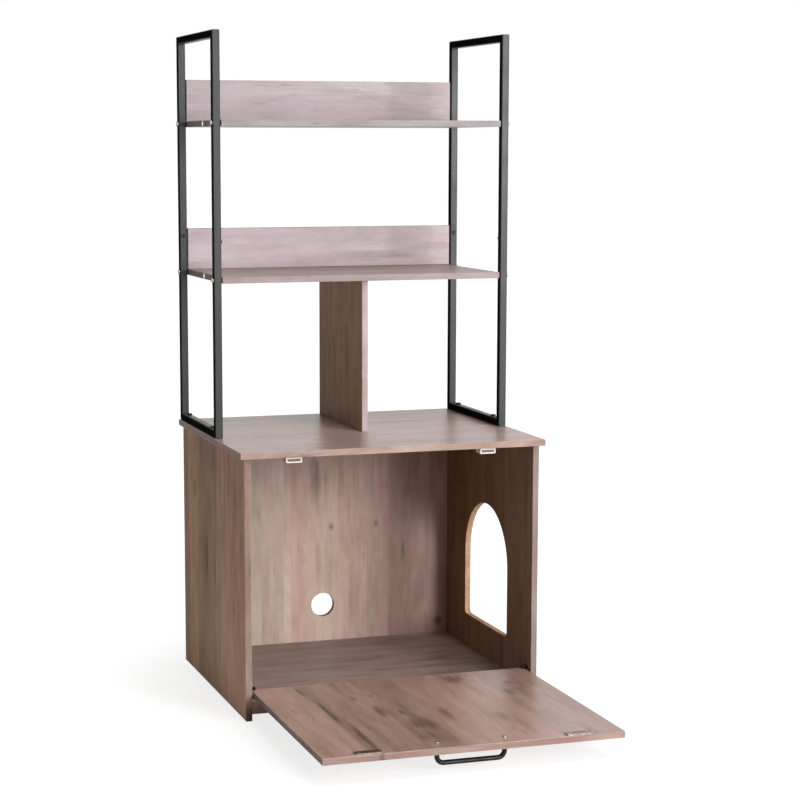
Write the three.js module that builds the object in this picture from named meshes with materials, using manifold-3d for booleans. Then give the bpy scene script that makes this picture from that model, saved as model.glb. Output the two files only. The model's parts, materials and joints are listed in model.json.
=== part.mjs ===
// A litter box cabinet with a two-shelf rack on top.
// Millimetres, +Z up. The floor is z = 0, the cabinet's front looks along -Y,
// and the cat's doorway is in the right-hand (+X) side panel.
// The front door hangs on two pivot pins near its lower edge and is shown
// swung down until it lies level on its stops.

import * as THREE from 'three';
import { mergeVertices } from 'three/addons/utils/BufferGeometryUtils.js';
import Module from 'manifold-3d';

const wasm = await Module();
wasm.setup();

// ---------------------------------------------------------------- sizes

// Boards
const BOARD = 12; // thickness of every board
const EDGE_EASE = 0.6; // small chamfer along the boards' edges
const SEAT_GAP = 0.3; // hairline left between pieces that rest on each other

// Cabinet carcass
const BODY_WIDTH = 582;
const BODY_DEPTH = 496; // front edge to rear edge of the side panels
const UNDERSIDE_OF_TOP = 494; // height of the top panel's underside
const TOP_SIDE_OVERHANG = 9;
const TOP_FRONT_OVERHANG = 10;
const FLOOR_LIFT = 13; // ground to the floor panel's underside
const BACK_RECESS = 12; // the back panel sits this far in from the rear edges

// Openings in the carcass
const DOORWAY_WIDTH = 234;
const DOORWAY_HEIGHT = 252;
const DOORWAY_SILL = 89.5; // ground to the doorway's lower edge
const DOORWAY_CENTRE = 245; // front edge of the panel to the doorway's middle
const DOORWAY_CORNER = 10; // lower corners' radius
const CABLE_HOLE_RADIUS = 25;
const CABLE_HOLE_HEIGHT = 102;

// Dowels, glued into one board and entering blind holes in its neighbour
const DOWEL_RADIUS = 4;
const DOWEL_REACH = 8;
const DOWEL_EDGE = 60; // board edge to the first dowel
const DOWEL_FROM_BOLT = 26; // centre distance, along the panel
const DOWEL_CLEARANCE = 0.3; // around a dowel, and past its end

// Door and its pivots
const DOOR_SIDE_GAP = 4;
const DOOR_TOP_GAP = 2;
const PIVOT_HEIGHT = 47;
const PIVOT_INSET = 6.5; // front edge of the side panels to the pivots' axis
const DOOR_TAIL = 20.5; // the door's length behind its pivots
const PIN_RADIUS = 3;
const PIN_DEPTH_IN_DOOR = 14;
const PIN_DEPTH_IN_BUSH = 6;
const PIN_CHAMFER = 0.5;
const RUNNING_GAP = 0.1; // between a pin and its bush
const BUSH_WALL = 2;
const BUSH_END = 1.2; // closed end of the bush, behind the pin
const BUSH_FLANGE = 1.2;
const BUSH_FLANGE_WIDTH = 2;
const STOP_RADIUS = 3.5;
const STOP_LENGTH_IN_PANEL = 8;
const STOP_FROM_TAIL_END = 7; // the door's tail edge to the stop's axis
const STOP_OVER_DOOR = 7; // how far the stop reaches over the door
const STOP_CHAMFER = 0.6;

// Door handle: a bent round bar
const HANDLE_BAR_RADIUS = 4.5;
const HANDLE_CENTRES = 124;
const HANDLE_PROJECTION = 28; // door face to the far side of the bar
const HANDLE_BEND = 12; // bend radius at the bar's centre line
const HANDLE_FROM_EDGE = 31; // the door's free edge to the screws
const HANDLE_SCREW_RADIUS = 2;
const HANDLE_SCREW_HEAD = 4.2;
const HANDLE_SCREW_HEAD_HEIGHT = 2.2;
const HANDLE_SCREW_ENGAGEMENT = 11;

// Magnetic catches under the top panel, and the plates they hold
const CATCH_FROM_SIDE = 87; // a side panel's inner face to a catch's middle
const CATCH_WIDTH = 31;
const CATCH_HEIGHT = 13.5;
const CATCH_DEPTH = 24;
const CATCH_CORNER = 1.5;
const MAGNET_WIDTH = 24.5;
const MAGNET_HEIGHT = 4;
const MAGNET_DEPTH = 10;
const MAGNET_DROP = 9; // the top panel's underside to the magnet's middle
const MAGNET_PROUD = 0.4; // the magnet stands out of its housing
const MAGNET_TO_PLATE = 0.3;
const CATCH_SCREW_SPACING = 18;
const CATCH_SCREW_FROM_BACK = 7;
const PLATE_WIDTH = 48;
const PLATE_HEIGHT = 16;
const PLATE_THICKNESS = 1.5;
const PLATE_CORNER = 2;
const PLATE_FROM_EDGE = 12.5; // the door's free edge to the plate's middle
const PLATE_SCREW_SPACING = 34;

// Small countersunk screws, for the plates and the catches
const SMALL_SCREW_SHANK = 1.5;
const SMALL_SCREW_HEAD = 3;
const SMALL_SCREW_HEAD_DEPTH = 1.3;
const SMALL_SCREW_GRIP = 8; // length in the board
const SCREW_CLEARANCE = 0.3;

// Rack: square steel tube bent into a lower U and an upper, inverted U
const TUBE = 15;
const TUBE_WALL = 1.2;
const TUBE_CORNER = 1.5; // outer corner radius of the tube's section
const RACK_HEIGHT = 770;
const RACK_SIDE_OVERHANG = 7; // the frames' outer faces past the side panels
const RACK_FRONT = 190; // front edge of the side panels to the frames' front
const RACK_REAR_INSET = 6; // rear edge of the side panels to the frames' rear
const TUBE_JOINT_LIFT = 390; // frames' base to the joint of the two Us
const SLEEVE_LENGTH = 45; // the sleeve's reach into the lower post
const SLEEVE_ROOT = 30; // length welded into the upper post
const SLEEVE_WALL = 1.2;
const SLEEVE_CLEARANCE = 0.3;
const WELD_OVERLAP = 0.1;

// Fasteners of the rack
const JOINT_SCREW_RADIUS = 2;
const JOINT_SCREW_HEAD = 4;
const JOINT_SCREW_HEAD_HEIGHT = 2;
const JOINT_SCREW_DROP = 15; // below the joint of the two Us
const JOINT_SCREW_TIP = 2; // length inside the sleeve
const RAIL_BOLT_RADIUS = 3;
const RAIL_BOLT_HEAD = 5.5;
const RAIL_BOLT_HEAD_HEIGHT = 3;
const RAIL_BOLT_INSET = 35; // post's inner face to the bolt's axis
const RAIL_BOLT_IN_TOP = 9; // length in the top panel
const SHELF_BOLT_RADIUS = 3;
const SHELF_BOLT_HEAD = 5.5;
const SHELF_BOLT_HEAD_HEIGHT = 2.4;
const SHELF_BOLT_GRIP = 26; // length in the shelf's end
const BOSS_RADIUS = 5;

// Shelves, their back boards and the divider
const LOWER_SHELF_LIFT = 296; // top panel to the shelf's underside
const UPPER_SHELF_LIFT = 592;
const SHELF_END_GAP = 2; // shelf's end to the frame beside it
const BACK_BOARD_HEIGHT = 82;
const BACK_BOARD_FROM_REAR = 1.5; // frames' rear face to the board's rear face
const BACK_BOARD_END_GAP = 2;
const DIVIDER_OFFSET = 5.5; // cabinet's middle to the divider's middle
const DIVIDER_FRONT_SETBACK = 10;
const PLUG_RADIUS = 5;
const PLUG_DEPTH = 8;
const PLUG_PROUD = 0.4;
const PLUG_CLEARANCE = 0.2;

// Faceting
const SMALL_SIDES = 10;
const ROUND_SIDES = 14;
const PIVOT_SIDES = 16;
const HOLE_SIDES = 32;
const CORNER_STEPS = 4;
const ARCH_STEPS = 32;
const BAR_SIDES = 6; // half the sides of the handle's bar
const BEND_STEPS = 4; // along each bend of the handle
const CROWN_SHARE = 0.35; // of a pan head's height, rounded off
const OVERCUT = 1; // how far a cutting shape runs past a face

// ------------------------------------------------------- worked-out sizes

const SIDE_X = BODY_WIDTH / 2; // outer face of a side panel
const INNER_X = SIDE_X - BOARD;
const INNER_WIDTH = 2 * INNER_X;
const TOP_HALF_WIDTH = SIDE_X + TOP_SIDE_OVERHANG;
const TOP_FACE = UNDERSIDE_OF_TOP + BOARD;
const FLOOR_TOP = FLOOR_LIFT + BOARD;
const BACK_REAR = BODY_DEPTH - BACK_RECESS;
const BACK_FRONT = BACK_REAR - BOARD;

const DOOR_WIDTH = INNER_WIDTH - 2 * DOOR_SIDE_GAP;
const DOOR_REACH = UNDERSIDE_OF_TOP - DOOR_TOP_GAP - PIVOT_HEIGHT;

const RACK_OUTER_X = SIDE_X + RACK_SIDE_OVERHANG;
const RACK_INNER_X = RACK_OUTER_X - TUBE;
const RACK_MIDDLE_X = RACK_OUTER_X - TUBE / 2;
const RACK_REAR = BODY_DEPTH - RACK_REAR_INSET;
const RACK_BASE = TOP_FACE + SEAT_GAP;
const POST_FRONT_Y = RACK_FRONT + TUBE / 2;
const POST_REAR_Y = RACK_REAR - TUBE / 2;
const TUBE_JOINT = RACK_BASE + TUBE_JOINT_LIFT;

const SHELF_HALF_LENGTH = RACK_INNER_X - SHELF_END_GAP;
const LOWER_SHELF = TOP_FACE + LOWER_SHELF_LIFT;
const UPPER_SHELF = TOP_FACE + UPPER_SHELF_LIFT;
const BACK_BOARD_REAR = RACK_REAR - BACK_BOARD_FROM_REAR;
const BACK_BOARD_FRONT = BACK_BOARD_REAR - BOARD;
const BACK_BOARD_HALF_LENGTH = RACK_INNER_X - BACK_BOARD_END_GAP;
const DIVIDER_FRONT = RACK_FRONT + DIVIDER_FRONT_SETBACK;
const DIVIDER_DOWELS = spread(DIVIDER_FRONT + DOWEL_EDGE, RACK_REAR - DOWEL_EDGE, 3)
  .map((y) => [DIVIDER_OFFSET, y, 0]);

const RAIL_BOLT_YS = [
  RACK_FRONT + TUBE + RAIL_BOLT_INSET,
  RACK_REAR - TUBE - RAIL_BOLT_INSET,
];
const JOINT_SCREW_Z = TUBE_JOINT - JOINT_SCREW_DROP;

// The closed door's inner face carries the plates that meet the magnets.
const CLOSED_DOOR_FACE = PIVOT_INSET + BOARD / 2;
const CATCH_OFFSET = SIDE_X - BOARD - CATCH_FROM_SIDE; // cabinet's middle to a catch's middle
const MAGNET_FRONT = CLOSED_DOOR_FACE + SEAT_GAP + PLATE_THICKNESS + MAGNET_TO_PLATE;
const MAGNET_MIDDLE_Z = UNDERSIDE_OF_TOP - MAGNET_DROP;
const CATCH_FRONT = MAGNET_FRONT + MAGNET_PROUD;
const CATCH_BACK = CATCH_FRONT + CATCH_DEPTH;
const CATCH_SCREW_Y = CATCH_BACK - CATCH_SCREW_FROM_BACK;

const DOOR_FREE_EDGE = PIVOT_INSET - DOOR_REACH; // Y of the open door's free edge
const MIDDLE_Y = (DOOR_FREE_EDGE + BODY_DEPTH) / 2;

const SIDES = [
  { side: 'left', sign: -1 },
  { side: 'right', sign: 1 },
];

// -------------------------------------------------------------- materials

function material(name, color, roughness, metalness = 0) {
  const made = new THREE.MeshStandardMaterial({ color, roughness, metalness });
  made.name = name;
  return made;
}

const BOARD_LOOK = { name: 'greyed_oak_board', color: 0xa8968c, roughness: 0.55 };
const TUBE_LOOK = { name: 'black_tube', color: 0x262626, roughness: 0.5, metalness: 0.3 };
const ZINC_LOOK = { name: 'zinc_fastener', color: 0xc9c9c6, roughness: 0.35, metalness: 0.9 };
const BLACK_STEEL_LOOK = { name: 'black_steel', color: 0x15140f, roughness: 0.4, metalness: 0.5 };
const CREAM_PLASTIC_LOOK = { name: 'cream_plastic', color: 0xe8dcd6, roughness: 0.45 };
const BLACK_PLASTIC_LOOK = { name: 'black_plastic', color: 0x1a1917, roughness: 0.5 };
const MAGNET_LOOK = { name: 'magnet', color: 0x4a443f, roughness: 0.45, metalness: 0.4 };
const WHITE_PLUG_LOOK = { name: 'white_plug', color: 0xf2efec, roughness: 0.5 };

// ------------------------------------------------------------ solid tools

function toSolid(geometry) {
  const bare = geometry.clone();
  bare.deleteAttribute('normal');
  bare.deleteAttribute('uv');
  const merged = mergeVertices(bare);
  return new wasm.Manifold(new wasm.Mesh({
    numProp: 3,
    vertProperties: new Float32Array(merged.attributes.position.array),
    triVerts: new Uint32Array(merged.index.array),
  }));
}

function toGeometry(solid) {
  const mesh = solid.getMesh();
  const geometry = new THREE.BufferGeometry();
  geometry.setAttribute('position', new THREE.BufferAttribute(new Float32Array(mesh.vertProperties), 3));
  geometry.setIndex(new THREE.BufferAttribute(new Uint32Array(mesh.triVerts), 1));
  geometry.computeVertexNormals();
  return geometry;
}

// One closed body from a base shape, shapes added to it and shapes cut from it.
function combine(base, { added = [], cut = [] }) {
  let solid = toSolid(base);
  for (const shape of added) {
    solid = solid.add(toSolid(shape));
  }
  for (const shape of cut) {
    solid = solid.subtract(toSolid(shape));
  }
  return toGeometry(solid);
}

// -------------------------------------------------------- basic geometries

const X_AXIS = new THREE.Vector3(1, 0, 0);
const Y_AXIS = new THREE.Vector3(0, 1, 0);
const Z_AXIS = new THREE.Vector3(0, 0, 1);

// An outline drawn in two axes and given thickness along the third:
// along X it is drawn in (Y, Z), along Y in (Z, X), along Z in (X, Y).
const DRAWN_IN = {
  x: new THREE.Matrix4().makeBasis(Y_AXIS, Z_AXIS, X_AXIS),
  y: new THREE.Matrix4().makeBasis(Z_AXIS, X_AXIS, Y_AXIS),
  z: new THREE.Matrix4(),
};

function slab(outline, axis, from, to, ease = 0) {
  const geometry = new THREE.ExtrudeGeometry(outline, {
    depth: to - from - 2 * ease,
    bevelEnabled: ease > 0,
    bevelThickness: ease,
    bevelSize: ease,
    bevelOffset: -ease,
    bevelSegments: 1,
  });
  geometry.translate(0, 0, from + ease);
  geometry.applyMatrix4(DRAWN_IN[axis]);
  return geometry;
}

function rectangle(u0, v0, u1, v1) {
  const shape = new THREE.Shape();
  shape.moveTo(u0, v0);
  shape.lineTo(u1, v0);
  shape.lineTo(u1, v1);
  shape.lineTo(u0, v1);
  shape.closePath();
  return shape;
}

// Adds the points of an arc, counter-clockwise, to an outline.
function addArc(path, u, v, radius, from, to, steps) {
  for (let i = 0; i <= steps; i += 1) {
    const angle = from + ((to - from) * i) / steps;
    path.lineTo(u + radius * Math.cos(angle), v + radius * Math.sin(angle));
  }
}

function roundedRectangle(u0, v0, u1, v1, radius) {
  const right = Math.PI / 2;
  const shape = new THREE.Shape();
  shape.moveTo(u0 + radius, v0);
  addArc(shape, u1 - radius, v0 + radius, radius, -right, 0, CORNER_STEPS);
  addArc(shape, u1 - radius, v1 - radius, radius, 0, right, CORNER_STEPS);
  addArc(shape, u0 + radius, v1 - radius, radius, right, 2 * right, CORNER_STEPS);
  addArc(shape, u0 + radius, v0 + radius, radius, 2 * right, 3 * right, CORNER_STEPS);
  return shape;
}

// A plain block between two corners, with eased edges where asked.
function block(low, high, ease = 0) {
  return slab(rectangle(low[0], low[1], high[0], high[1]), 'z', low[2], high[2], ease);
}

// A board is an eased slab whose thickness lies along the given axis.
function board(axis, low, high) {
  const outlines = {
    x: () => rectangle(low[1], low[2], high[1], high[2]),
    y: () => rectangle(low[2], low[0], high[2], high[0]),
    z: () => rectangle(low[0], low[1], high[0], high[1]),
  };
  const index = { x: 0, y: 1, z: 2 }[axis];
  return slab(outlines[axis](), axis, low[index], high[index], EDGE_EASE);
}

// A turned piece: profile points are [radius, distance along the direction].
const TURNED_ALONG = {
  x: new THREE.Matrix4().makeBasis(Z_AXIS, X_AXIS, Y_AXIS),
  y: new THREE.Matrix4(),
  z: new THREE.Matrix4().makeBasis(Y_AXIS, Z_AXIS, X_AXIS),
};

function turned(axis, centre, profile, sides) {
  const points = profile.map(([radius, along]) => new THREE.Vector2(radius, along));
  if (THREE.ShapeUtils.area(points) < 0) {
    points.reverse();
  }
  if (points[0].x > 0) {
    points.push(points[0].clone());
  }
  const geometry = new THREE.LatheGeometry(points, sides);
  geometry.applyMatrix4(TURNED_ALONG[axis]);
  geometry.translate(centre[0], centre[1], centre[2]);
  return geometry;
}

// A rod from one distance to another along an axis through the centre.
function rod(axis, centre, radius, from, to, sides = ROUND_SIDES) {
  return turned(axis, centre, [[0, from], [radius, from], [radius, to], [0, to]], sides);
}

// Profiles are written for a piece whose head points along +axis.
function towards(sign, profile) {
  return profile.map(([radius, along]) => [radius, sign * along]);
}

// A pan-headed screw or bolt. The head's underside is at `face`, the head
// lies on the side that `sign` points to, and the shank runs the other way.
function panHeadScrew({ axis, centre, face, sign, shank, length, head, headHeight }) {
  const crown = headHeight * CROWN_SHARE;
  const profile = [
    [0, -length],
    [shank, -length],
    [shank, 0],
    [head, 0],
    [head, headHeight - crown],
    [head - crown, headHeight],
    [0, headHeight],
  ];
  const placed = towards(sign, profile).map(([radius, along]) => [radius, along + face]);
  return turned(axis, centre, placed, SMALL_SIDES);
}

// A countersunk screw whose head's flat side is at `face`.
function flatHeadScrew({ axis, centre, face, sign, length }) {
  const profile = [
    [0, -length],
    [SMALL_SCREW_SHANK, -length],
    [SMALL_SCREW_SHANK, -SMALL_SCREW_HEAD_DEPTH],
    [SMALL_SCREW_HEAD, 0],
    [0, 0],
  ];
  const placed = towards(sign, profile).map(([radius, along]) => [radius, along + face]);
  return turned(axis, centre, placed, SMALL_SIDES);
}

// The clearance hole of a countersunk screw.
function countersunkHole({ axis, centre, face, sign, length }) {
  const shank = SMALL_SCREW_SHANK + SCREW_CLEARANCE;
  const head = SMALL_SCREW_HEAD + SCREW_CLEARANCE;
  const profile = [
    [0, -length - SCREW_CLEARANCE],
    [shank, -length - SCREW_CLEARANCE],
    [shank, -SMALL_SCREW_HEAD_DEPTH - SCREW_CLEARANCE],
    [head, -SCREW_CLEARANCE],
    [head, OVERCUT],
    [0, OVERCUT],
  ];
  const placed = towards(sign, profile).map(([radius, along]) => [radius, along + face]);
  return turned(axis, centre, placed, SMALL_SIDES);
}

function spread(from, to, count) {
  const places = [];
  for (let i = 0; i < count; i += 1) {
    places.push(from + ((to - from) * i) / (count - 1));
  }
  return places;
}

// Dowels that stand out of a face, and the blind holes that take them.
// `face` is the coordinate, along the axis, of the face they stand out of.
function dowels(axis, centres, face, sign) {
  return centres.map((centre) => {
    const [from, to] = sign > 0
      ? [face - DOWEL_REACH / 2, face + DOWEL_REACH]
      : [face - DOWEL_REACH, face + DOWEL_REACH / 2];
    return rod(axis, centre, DOWEL_RADIUS, from, to, SMALL_SIDES);
  });
}

function dowelHoles(axis, centres, face, sign) {
  const depth = DOWEL_REACH + DOWEL_CLEARANCE;
  return centres.map((centre) => {
    const [from, to] = sign > 0 ? [face - OVERCUT, face + depth] : [face - depth, face + OVERCUT];
    return rod(axis, centre, DOWEL_RADIUS + DOWEL_CLEARANCE, from, to, SMALL_SIDES);
  });
}

function piece(name, geometry, look) {
  const mesh = new THREE.Mesh(geometry, material(look.name, look.color, look.roughness, look.metalness));
  mesh.name = name;
  return mesh;
}

// ----------------------------------------------------------------- cabinet

// Where the dowels of each joint lie, shared by both boards of the joint.
// The rear dowels of the side panels keep clear of the rack's bolts.
const SIDE_TO_TOP = [DOWEL_EDGE, ...RAIL_BOLT_YS.map((y) => y + DOWEL_FROM_BOLT)];
const FLOOR_TO_SIDE = spread(DOWEL_EDGE, BACK_FRONT - DOWEL_EDGE, 3);
const BACK_TO_SIDE = spread(FLOOR_TOP + DOWEL_EDGE, UNDERSIDE_OF_TOP - DOWEL_EDGE, 3);
const FLOOR_MIDDLE_Z = FLOOR_LIFT + BOARD / 2;
const BACK_MIDDLE_Y = BACK_FRONT + BOARD / 2;
const SIDE_MIDDLE_X = SIDE_X - BOARD / 2;
const SIDE_TOP_EDGE = UNDERSIDE_OF_TOP - SEAT_GAP;

const STOP_Y = PIVOT_INSET + DOOR_TAIL - STOP_FROM_TAIL_END;
const STOP_Z = PIVOT_HEIGHT + BOARD / 2 + SEAT_GAP + STOP_RADIUS;
const BUSH_RADIUS = PIN_RADIUS + RUNNING_GAP + BUSH_WALL;
const BUSH_DEPTH = PIN_DEPTH_IN_BUSH + BUSH_END;

function doorwayOutline() {
  const left = DOORWAY_CENTRE - DOORWAY_WIDTH / 2;
  const right = DOORWAY_CENTRE + DOORWAY_WIDTH / 2;
  const headRadius = DOORWAY_WIDTH / 2;
  const springing = DOORWAY_SILL + DOORWAY_HEIGHT - headRadius;
  const low = DOORWAY_SILL + DOORWAY_CORNER;
  const quarter = Math.PI / 2;
  const path = new THREE.Path();
  path.moveTo(left + DOORWAY_CORNER, DOORWAY_SILL);
  addArc(path, right - DOORWAY_CORNER, low, DOORWAY_CORNER, -quarter, 0, CORNER_STEPS);
  addArc(path, DOORWAY_CENTRE, springing, headRadius, 0, 2 * quarter, ARCH_STEPS);
  addArc(path, left + DOORWAY_CORNER, low, DOORWAY_CORNER, 2 * quarter, 3 * quarter, CORNER_STEPS);
  return path;
}

function sidePanel(side, sign) {
  const outline = rectangle(0, 0, BODY_DEPTH, SIDE_TOP_EDGE);
  if (side === 'right') {
    outline.holes.push(doorwayOutline());
  }
  const [from, to] = sign > 0 ? [INNER_X, SIDE_X] : [-SIDE_X, -INNER_X];
  const inner = sign * INNER_X;
  const topDowels = SIDE_TO_TOP.map((y) => [sign * SIDE_MIDDLE_X, y, 0]);
  const floorHoles = FLOOR_TO_SIDE.map((y) => [0, y, FLOOR_MIDDLE_Z]);
  const backHoles = BACK_TO_SIDE.map((z) => [0, BACK_MIDDLE_Y, z]);
  return combine(slab(outline, 'x', from, to, EDGE_EASE), {
    added: dowels('z', topDowels, SIDE_TOP_EDGE, 1),
    cut: [
      ...dowelHoles('x', floorHoles, inner, sign),
      ...dowelHoles('x', backHoles, inner, sign),
      holeInto(sign, PIVOT_INSET, PIVOT_HEIGHT, BUSH_RADIUS, BUSH_DEPTH),
      holeInto(sign, STOP_Y, STOP_Z, STOP_RADIUS, STOP_LENGTH_IN_PANEL),
    ],
  });
}

// A blind hole in a side panel's inner face, for a piece of the given size.
function holeInto(sign, y, z, radius, depth) {
  const near = sign * (INNER_X - OVERCUT);
  const far = sign * (INNER_X + depth + SEAT_GAP);
  return rod('x', [0, y, z], radius + SEAT_GAP, Math.min(near, far), Math.max(near, far), PIVOT_SIDES);
}

function topPanel() {
  const panel = board('z',
    [-TOP_HALF_WIDTH, -TOP_FRONT_OVERHANG, UNDERSIDE_OF_TOP],
    [TOP_HALF_WIDTH, BODY_DEPTH, TOP_FACE]);
  const cut = [];
  for (const { sign } of SIDES) {
    const centres = SIDE_TO_TOP.map((y) => [sign * SIDE_MIDDLE_X, y, 0]);
    cut.push(...dowelHoles('z', centres, UNDERSIDE_OF_TOP, 1));
    for (const y of RAIL_BOLT_YS) {
      const radius = RAIL_BOLT_RADIUS + SCREW_CLEARANCE;
      const foot = TOP_FACE - RAIL_BOLT_IN_TOP - SCREW_CLEARANCE;
      cut.push(rod('z', [sign * RACK_MIDDLE_X, y, 0], radius, foot, TOP_FACE + OVERCUT, SMALL_SIDES));
    }
    for (const x of catchScrewXs(sign)) {
      const tip = UNDERSIDE_OF_TOP + SMALL_SCREW_GRIP + SCREW_CLEARANCE;
      const radius = SMALL_SCREW_SHANK + SCREW_CLEARANCE;
      cut.push(rod('z', [x, CATCH_SCREW_Y, 0], radius, UNDERSIDE_OF_TOP - OVERCUT, tip, SMALL_SIDES));
    }
  }
  cut.push(...dowelHoles('z', DIVIDER_DOWELS, TOP_FACE, -1));
  return combine(panel, { cut });
}

function floorPanel() {
  const halfWidth = INNER_X - SEAT_GAP;
  const panel = board('z', [-halfWidth, 0, FLOOR_LIFT], [halfWidth, BACK_FRONT - SEAT_GAP, FLOOR_TOP]);
  const centres = FLOOR_TO_SIDE.map((y) => [0, y, FLOOR_MIDDLE_Z]);
  return combine(panel, {
    added: [...dowels('x', centres, halfWidth, 1), ...dowels('x', centres, -halfWidth, -1)],
  });
}

function backPanel() {
  const halfWidth = INNER_X - SEAT_GAP;
  const panel = board('y', [-halfWidth, BACK_FRONT, FLOOR_LIFT], [halfWidth, BACK_REAR, SIDE_TOP_EDGE]);
  const centres = BACK_TO_SIDE.map((z) => [0, BACK_MIDDLE_Y, z]);
  const cableHole = rod('y', [0, 0, CABLE_HOLE_HEIGHT], CABLE_HOLE_RADIUS,
    BACK_FRONT - OVERCUT, BACK_REAR + OVERCUT, HOLE_SIDES);
  return combine(panel, {
    added: [...dowels('x', centres, halfWidth, 1), ...dowels('x', centres, -halfWidth, -1)],
    cut: [cableHole],
  });
}

// The bush is a flanged cup: its flange lies on the side panel's inner face
// and its bore is open towards the door.
function pivotBush(sign) {
  const bore = (PIN_RADIUS + RUNNING_GAP) / Math.cos(Math.PI / PIVOT_SIDES);
  const flange = BUSH_RADIUS + BUSH_FLANGE_WIDTH;
  const seat = INNER_X - SEAT_GAP;
  const bottom = INNER_X + PIN_DEPTH_IN_BUSH;
  const profile = [
    [0, bottom],
    [bore, bottom],
    [bore, seat - BUSH_FLANGE],
    [flange, seat - BUSH_FLANGE],
    [flange, seat],
    [BUSH_RADIUS, seat],
    [BUSH_RADIUS, INNER_X + BUSH_DEPTH],
    [0, INNER_X + BUSH_DEPTH],
  ];
  return turned('x', [0, PIVOT_INSET, PIVOT_HEIGHT], towards(sign, profile), PIVOT_SIDES);
}

// A peg pressed into the side panel; the door's tail comes up under it.
function doorStop(sign) {
  const tip = INNER_X - DOOR_SIDE_GAP - STOP_OVER_DOOR;
  const root = INNER_X + STOP_LENGTH_IN_PANEL;
  const profile = [
    [0, tip],
    [STOP_RADIUS - STOP_CHAMFER, tip],
    [STOP_RADIUS, tip + STOP_CHAMFER],
    [STOP_RADIUS, root],
    [0, root],
  ];
  return turned('x', [0, STOP_Y, STOP_Z], towards(sign, profile), ROUND_SIDES);
}

// ---------------------------------------------------------- magnetic catches

function catchScrewXs(sign) {
  const middle = sign * CATCH_OFFSET;
  return [middle - CATCH_SCREW_SPACING / 2, middle + CATCH_SCREW_SPACING / 2];
}

function catchHousing(sign) {
  const middle = sign * CATCH_OFFSET;
  const top = UNDERSIDE_OF_TOP - SEAT_GAP;
  const bottom = top - CATCH_HEIGHT;
  const outline = roundedRectangle(
    bottom, middle - CATCH_WIDTH / 2, top, middle + CATCH_WIDTH / 2, CATCH_CORNER);
  const pocketHalf = [MAGNET_WIDTH / 2 + SEAT_GAP, MAGNET_HEIGHT / 2 + SEAT_GAP];
  const pocket = block(
    [middle - pocketHalf[0], CATCH_FRONT - OVERCUT, MAGNET_MIDDLE_Z - pocketHalf[1]],
    [middle + pocketHalf[0], MAGNET_FRONT + MAGNET_DEPTH + SEAT_GAP, MAGNET_MIDDLE_Z + pocketHalf[1]]);
  const holes = catchScrewXs(sign).map((x) => countersunkHole({
    axis: 'z',
    centre: [x, CATCH_SCREW_Y, 0],
    face: bottom,
    sign: -1,
    length: CATCH_HEIGHT + OVERCUT,
  }));
  return combine(slab(outline, 'y', CATCH_FRONT, CATCH_BACK), { cut: [pocket, ...holes] });
}

function catchMagnet(sign) {
  const middle = sign * CATCH_OFFSET;
  return block(
    [middle - MAGNET_WIDTH / 2, MAGNET_FRONT, MAGNET_MIDDLE_Z - MAGNET_HEIGHT / 2],
    [middle + MAGNET_WIDTH / 2, MAGNET_FRONT + MAGNET_DEPTH, MAGNET_MIDDLE_Z + MAGNET_HEIGHT / 2]);
}

function catchScrew(x) {
  return flatHeadScrew({
    axis: 'z',
    centre: [x, CATCH_SCREW_Y, 0],
    face: UNDERSIDE_OF_TOP - SEAT_GAP - CATCH_HEIGHT,
    sign: -1,
    length: CATCH_HEIGHT + SEAT_GAP + SMALL_SCREW_GRIP,
  });
}

// -------------------------------------------------------------------- door

// The door and all that is fixed to it are drawn about the pivots' axis:
// the door lies open, its free edge at -DOOR_REACH and its tail at DOOR_TAIL.

const DOOR_HALF = DOOR_WIDTH / 2;
const DOOR_FACE = BOARD / 2; // inner face when closed, upper face when open
const HANDLE_Y = HANDLE_FROM_EDGE - DOOR_REACH;
const PLATE_Y = PLATE_FROM_EDGE - DOOR_REACH;

function plateScrewXs(sign) {
  const middle = sign * CATCH_OFFSET;
  return [middle - PLATE_SCREW_SPACING / 2, middle + PLATE_SCREW_SPACING / 2];
}

function doorPanel() {
  const panel = board('z', [-DOOR_HALF, -DOOR_REACH, -DOOR_FACE], [DOOR_HALF, DOOR_TAIL, DOOR_FACE]);
  const cut = [];
  for (const { sign } of SIDES) {
    const edge = sign * (DOOR_HALF + OVERCUT);
    const bottom = sign * (DOOR_HALF - PIN_DEPTH_IN_DOOR - SEAT_GAP);
    const pinHole = PIN_RADIUS + SCREW_CLEARANCE;
    cut.push(rod('x', [0, 0, 0], pinHole, Math.min(edge, bottom), Math.max(edge, bottom)));
    const screwHole = HANDLE_SCREW_RADIUS + SCREW_CLEARANCE;
    const handleHole = [sign * HANDLE_CENTRES / 2, HANDLE_Y, 0];
    cut.push(rod('z', handleHole, screwHole, -DOOR_FACE - OVERCUT, DOOR_FACE + OVERCUT, SMALL_SIDES));
    for (const x of plateScrewXs(sign)) {
      const tip = DOOR_FACE - SMALL_SCREW_GRIP - SCREW_CLEARANCE;
      const radius = SMALL_SCREW_SHANK + SCREW_CLEARANCE;
      cut.push(rod('z', [x, PLATE_Y, 0], radius, tip, DOOR_FACE + OVERCUT, SMALL_SIDES));
    }
  }
  return combine(panel, { cut });
}

function pivotPin(sign) {
  const root = DOOR_HALF - PIN_DEPTH_IN_DOOR;
  const tip = INNER_X + PIN_DEPTH_IN_BUSH - SEAT_GAP;
  const profile = [
    [0, root],
    [PIN_RADIUS, root],
    [PIN_RADIUS, tip - PIN_CHAMFER],
    [PIN_RADIUS - PIN_CHAMFER, tip],
    [0, tip],
  ];
  return turned('x', [0, 0, 0], towards(sign, profile), PIVOT_SIDES);
}

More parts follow.
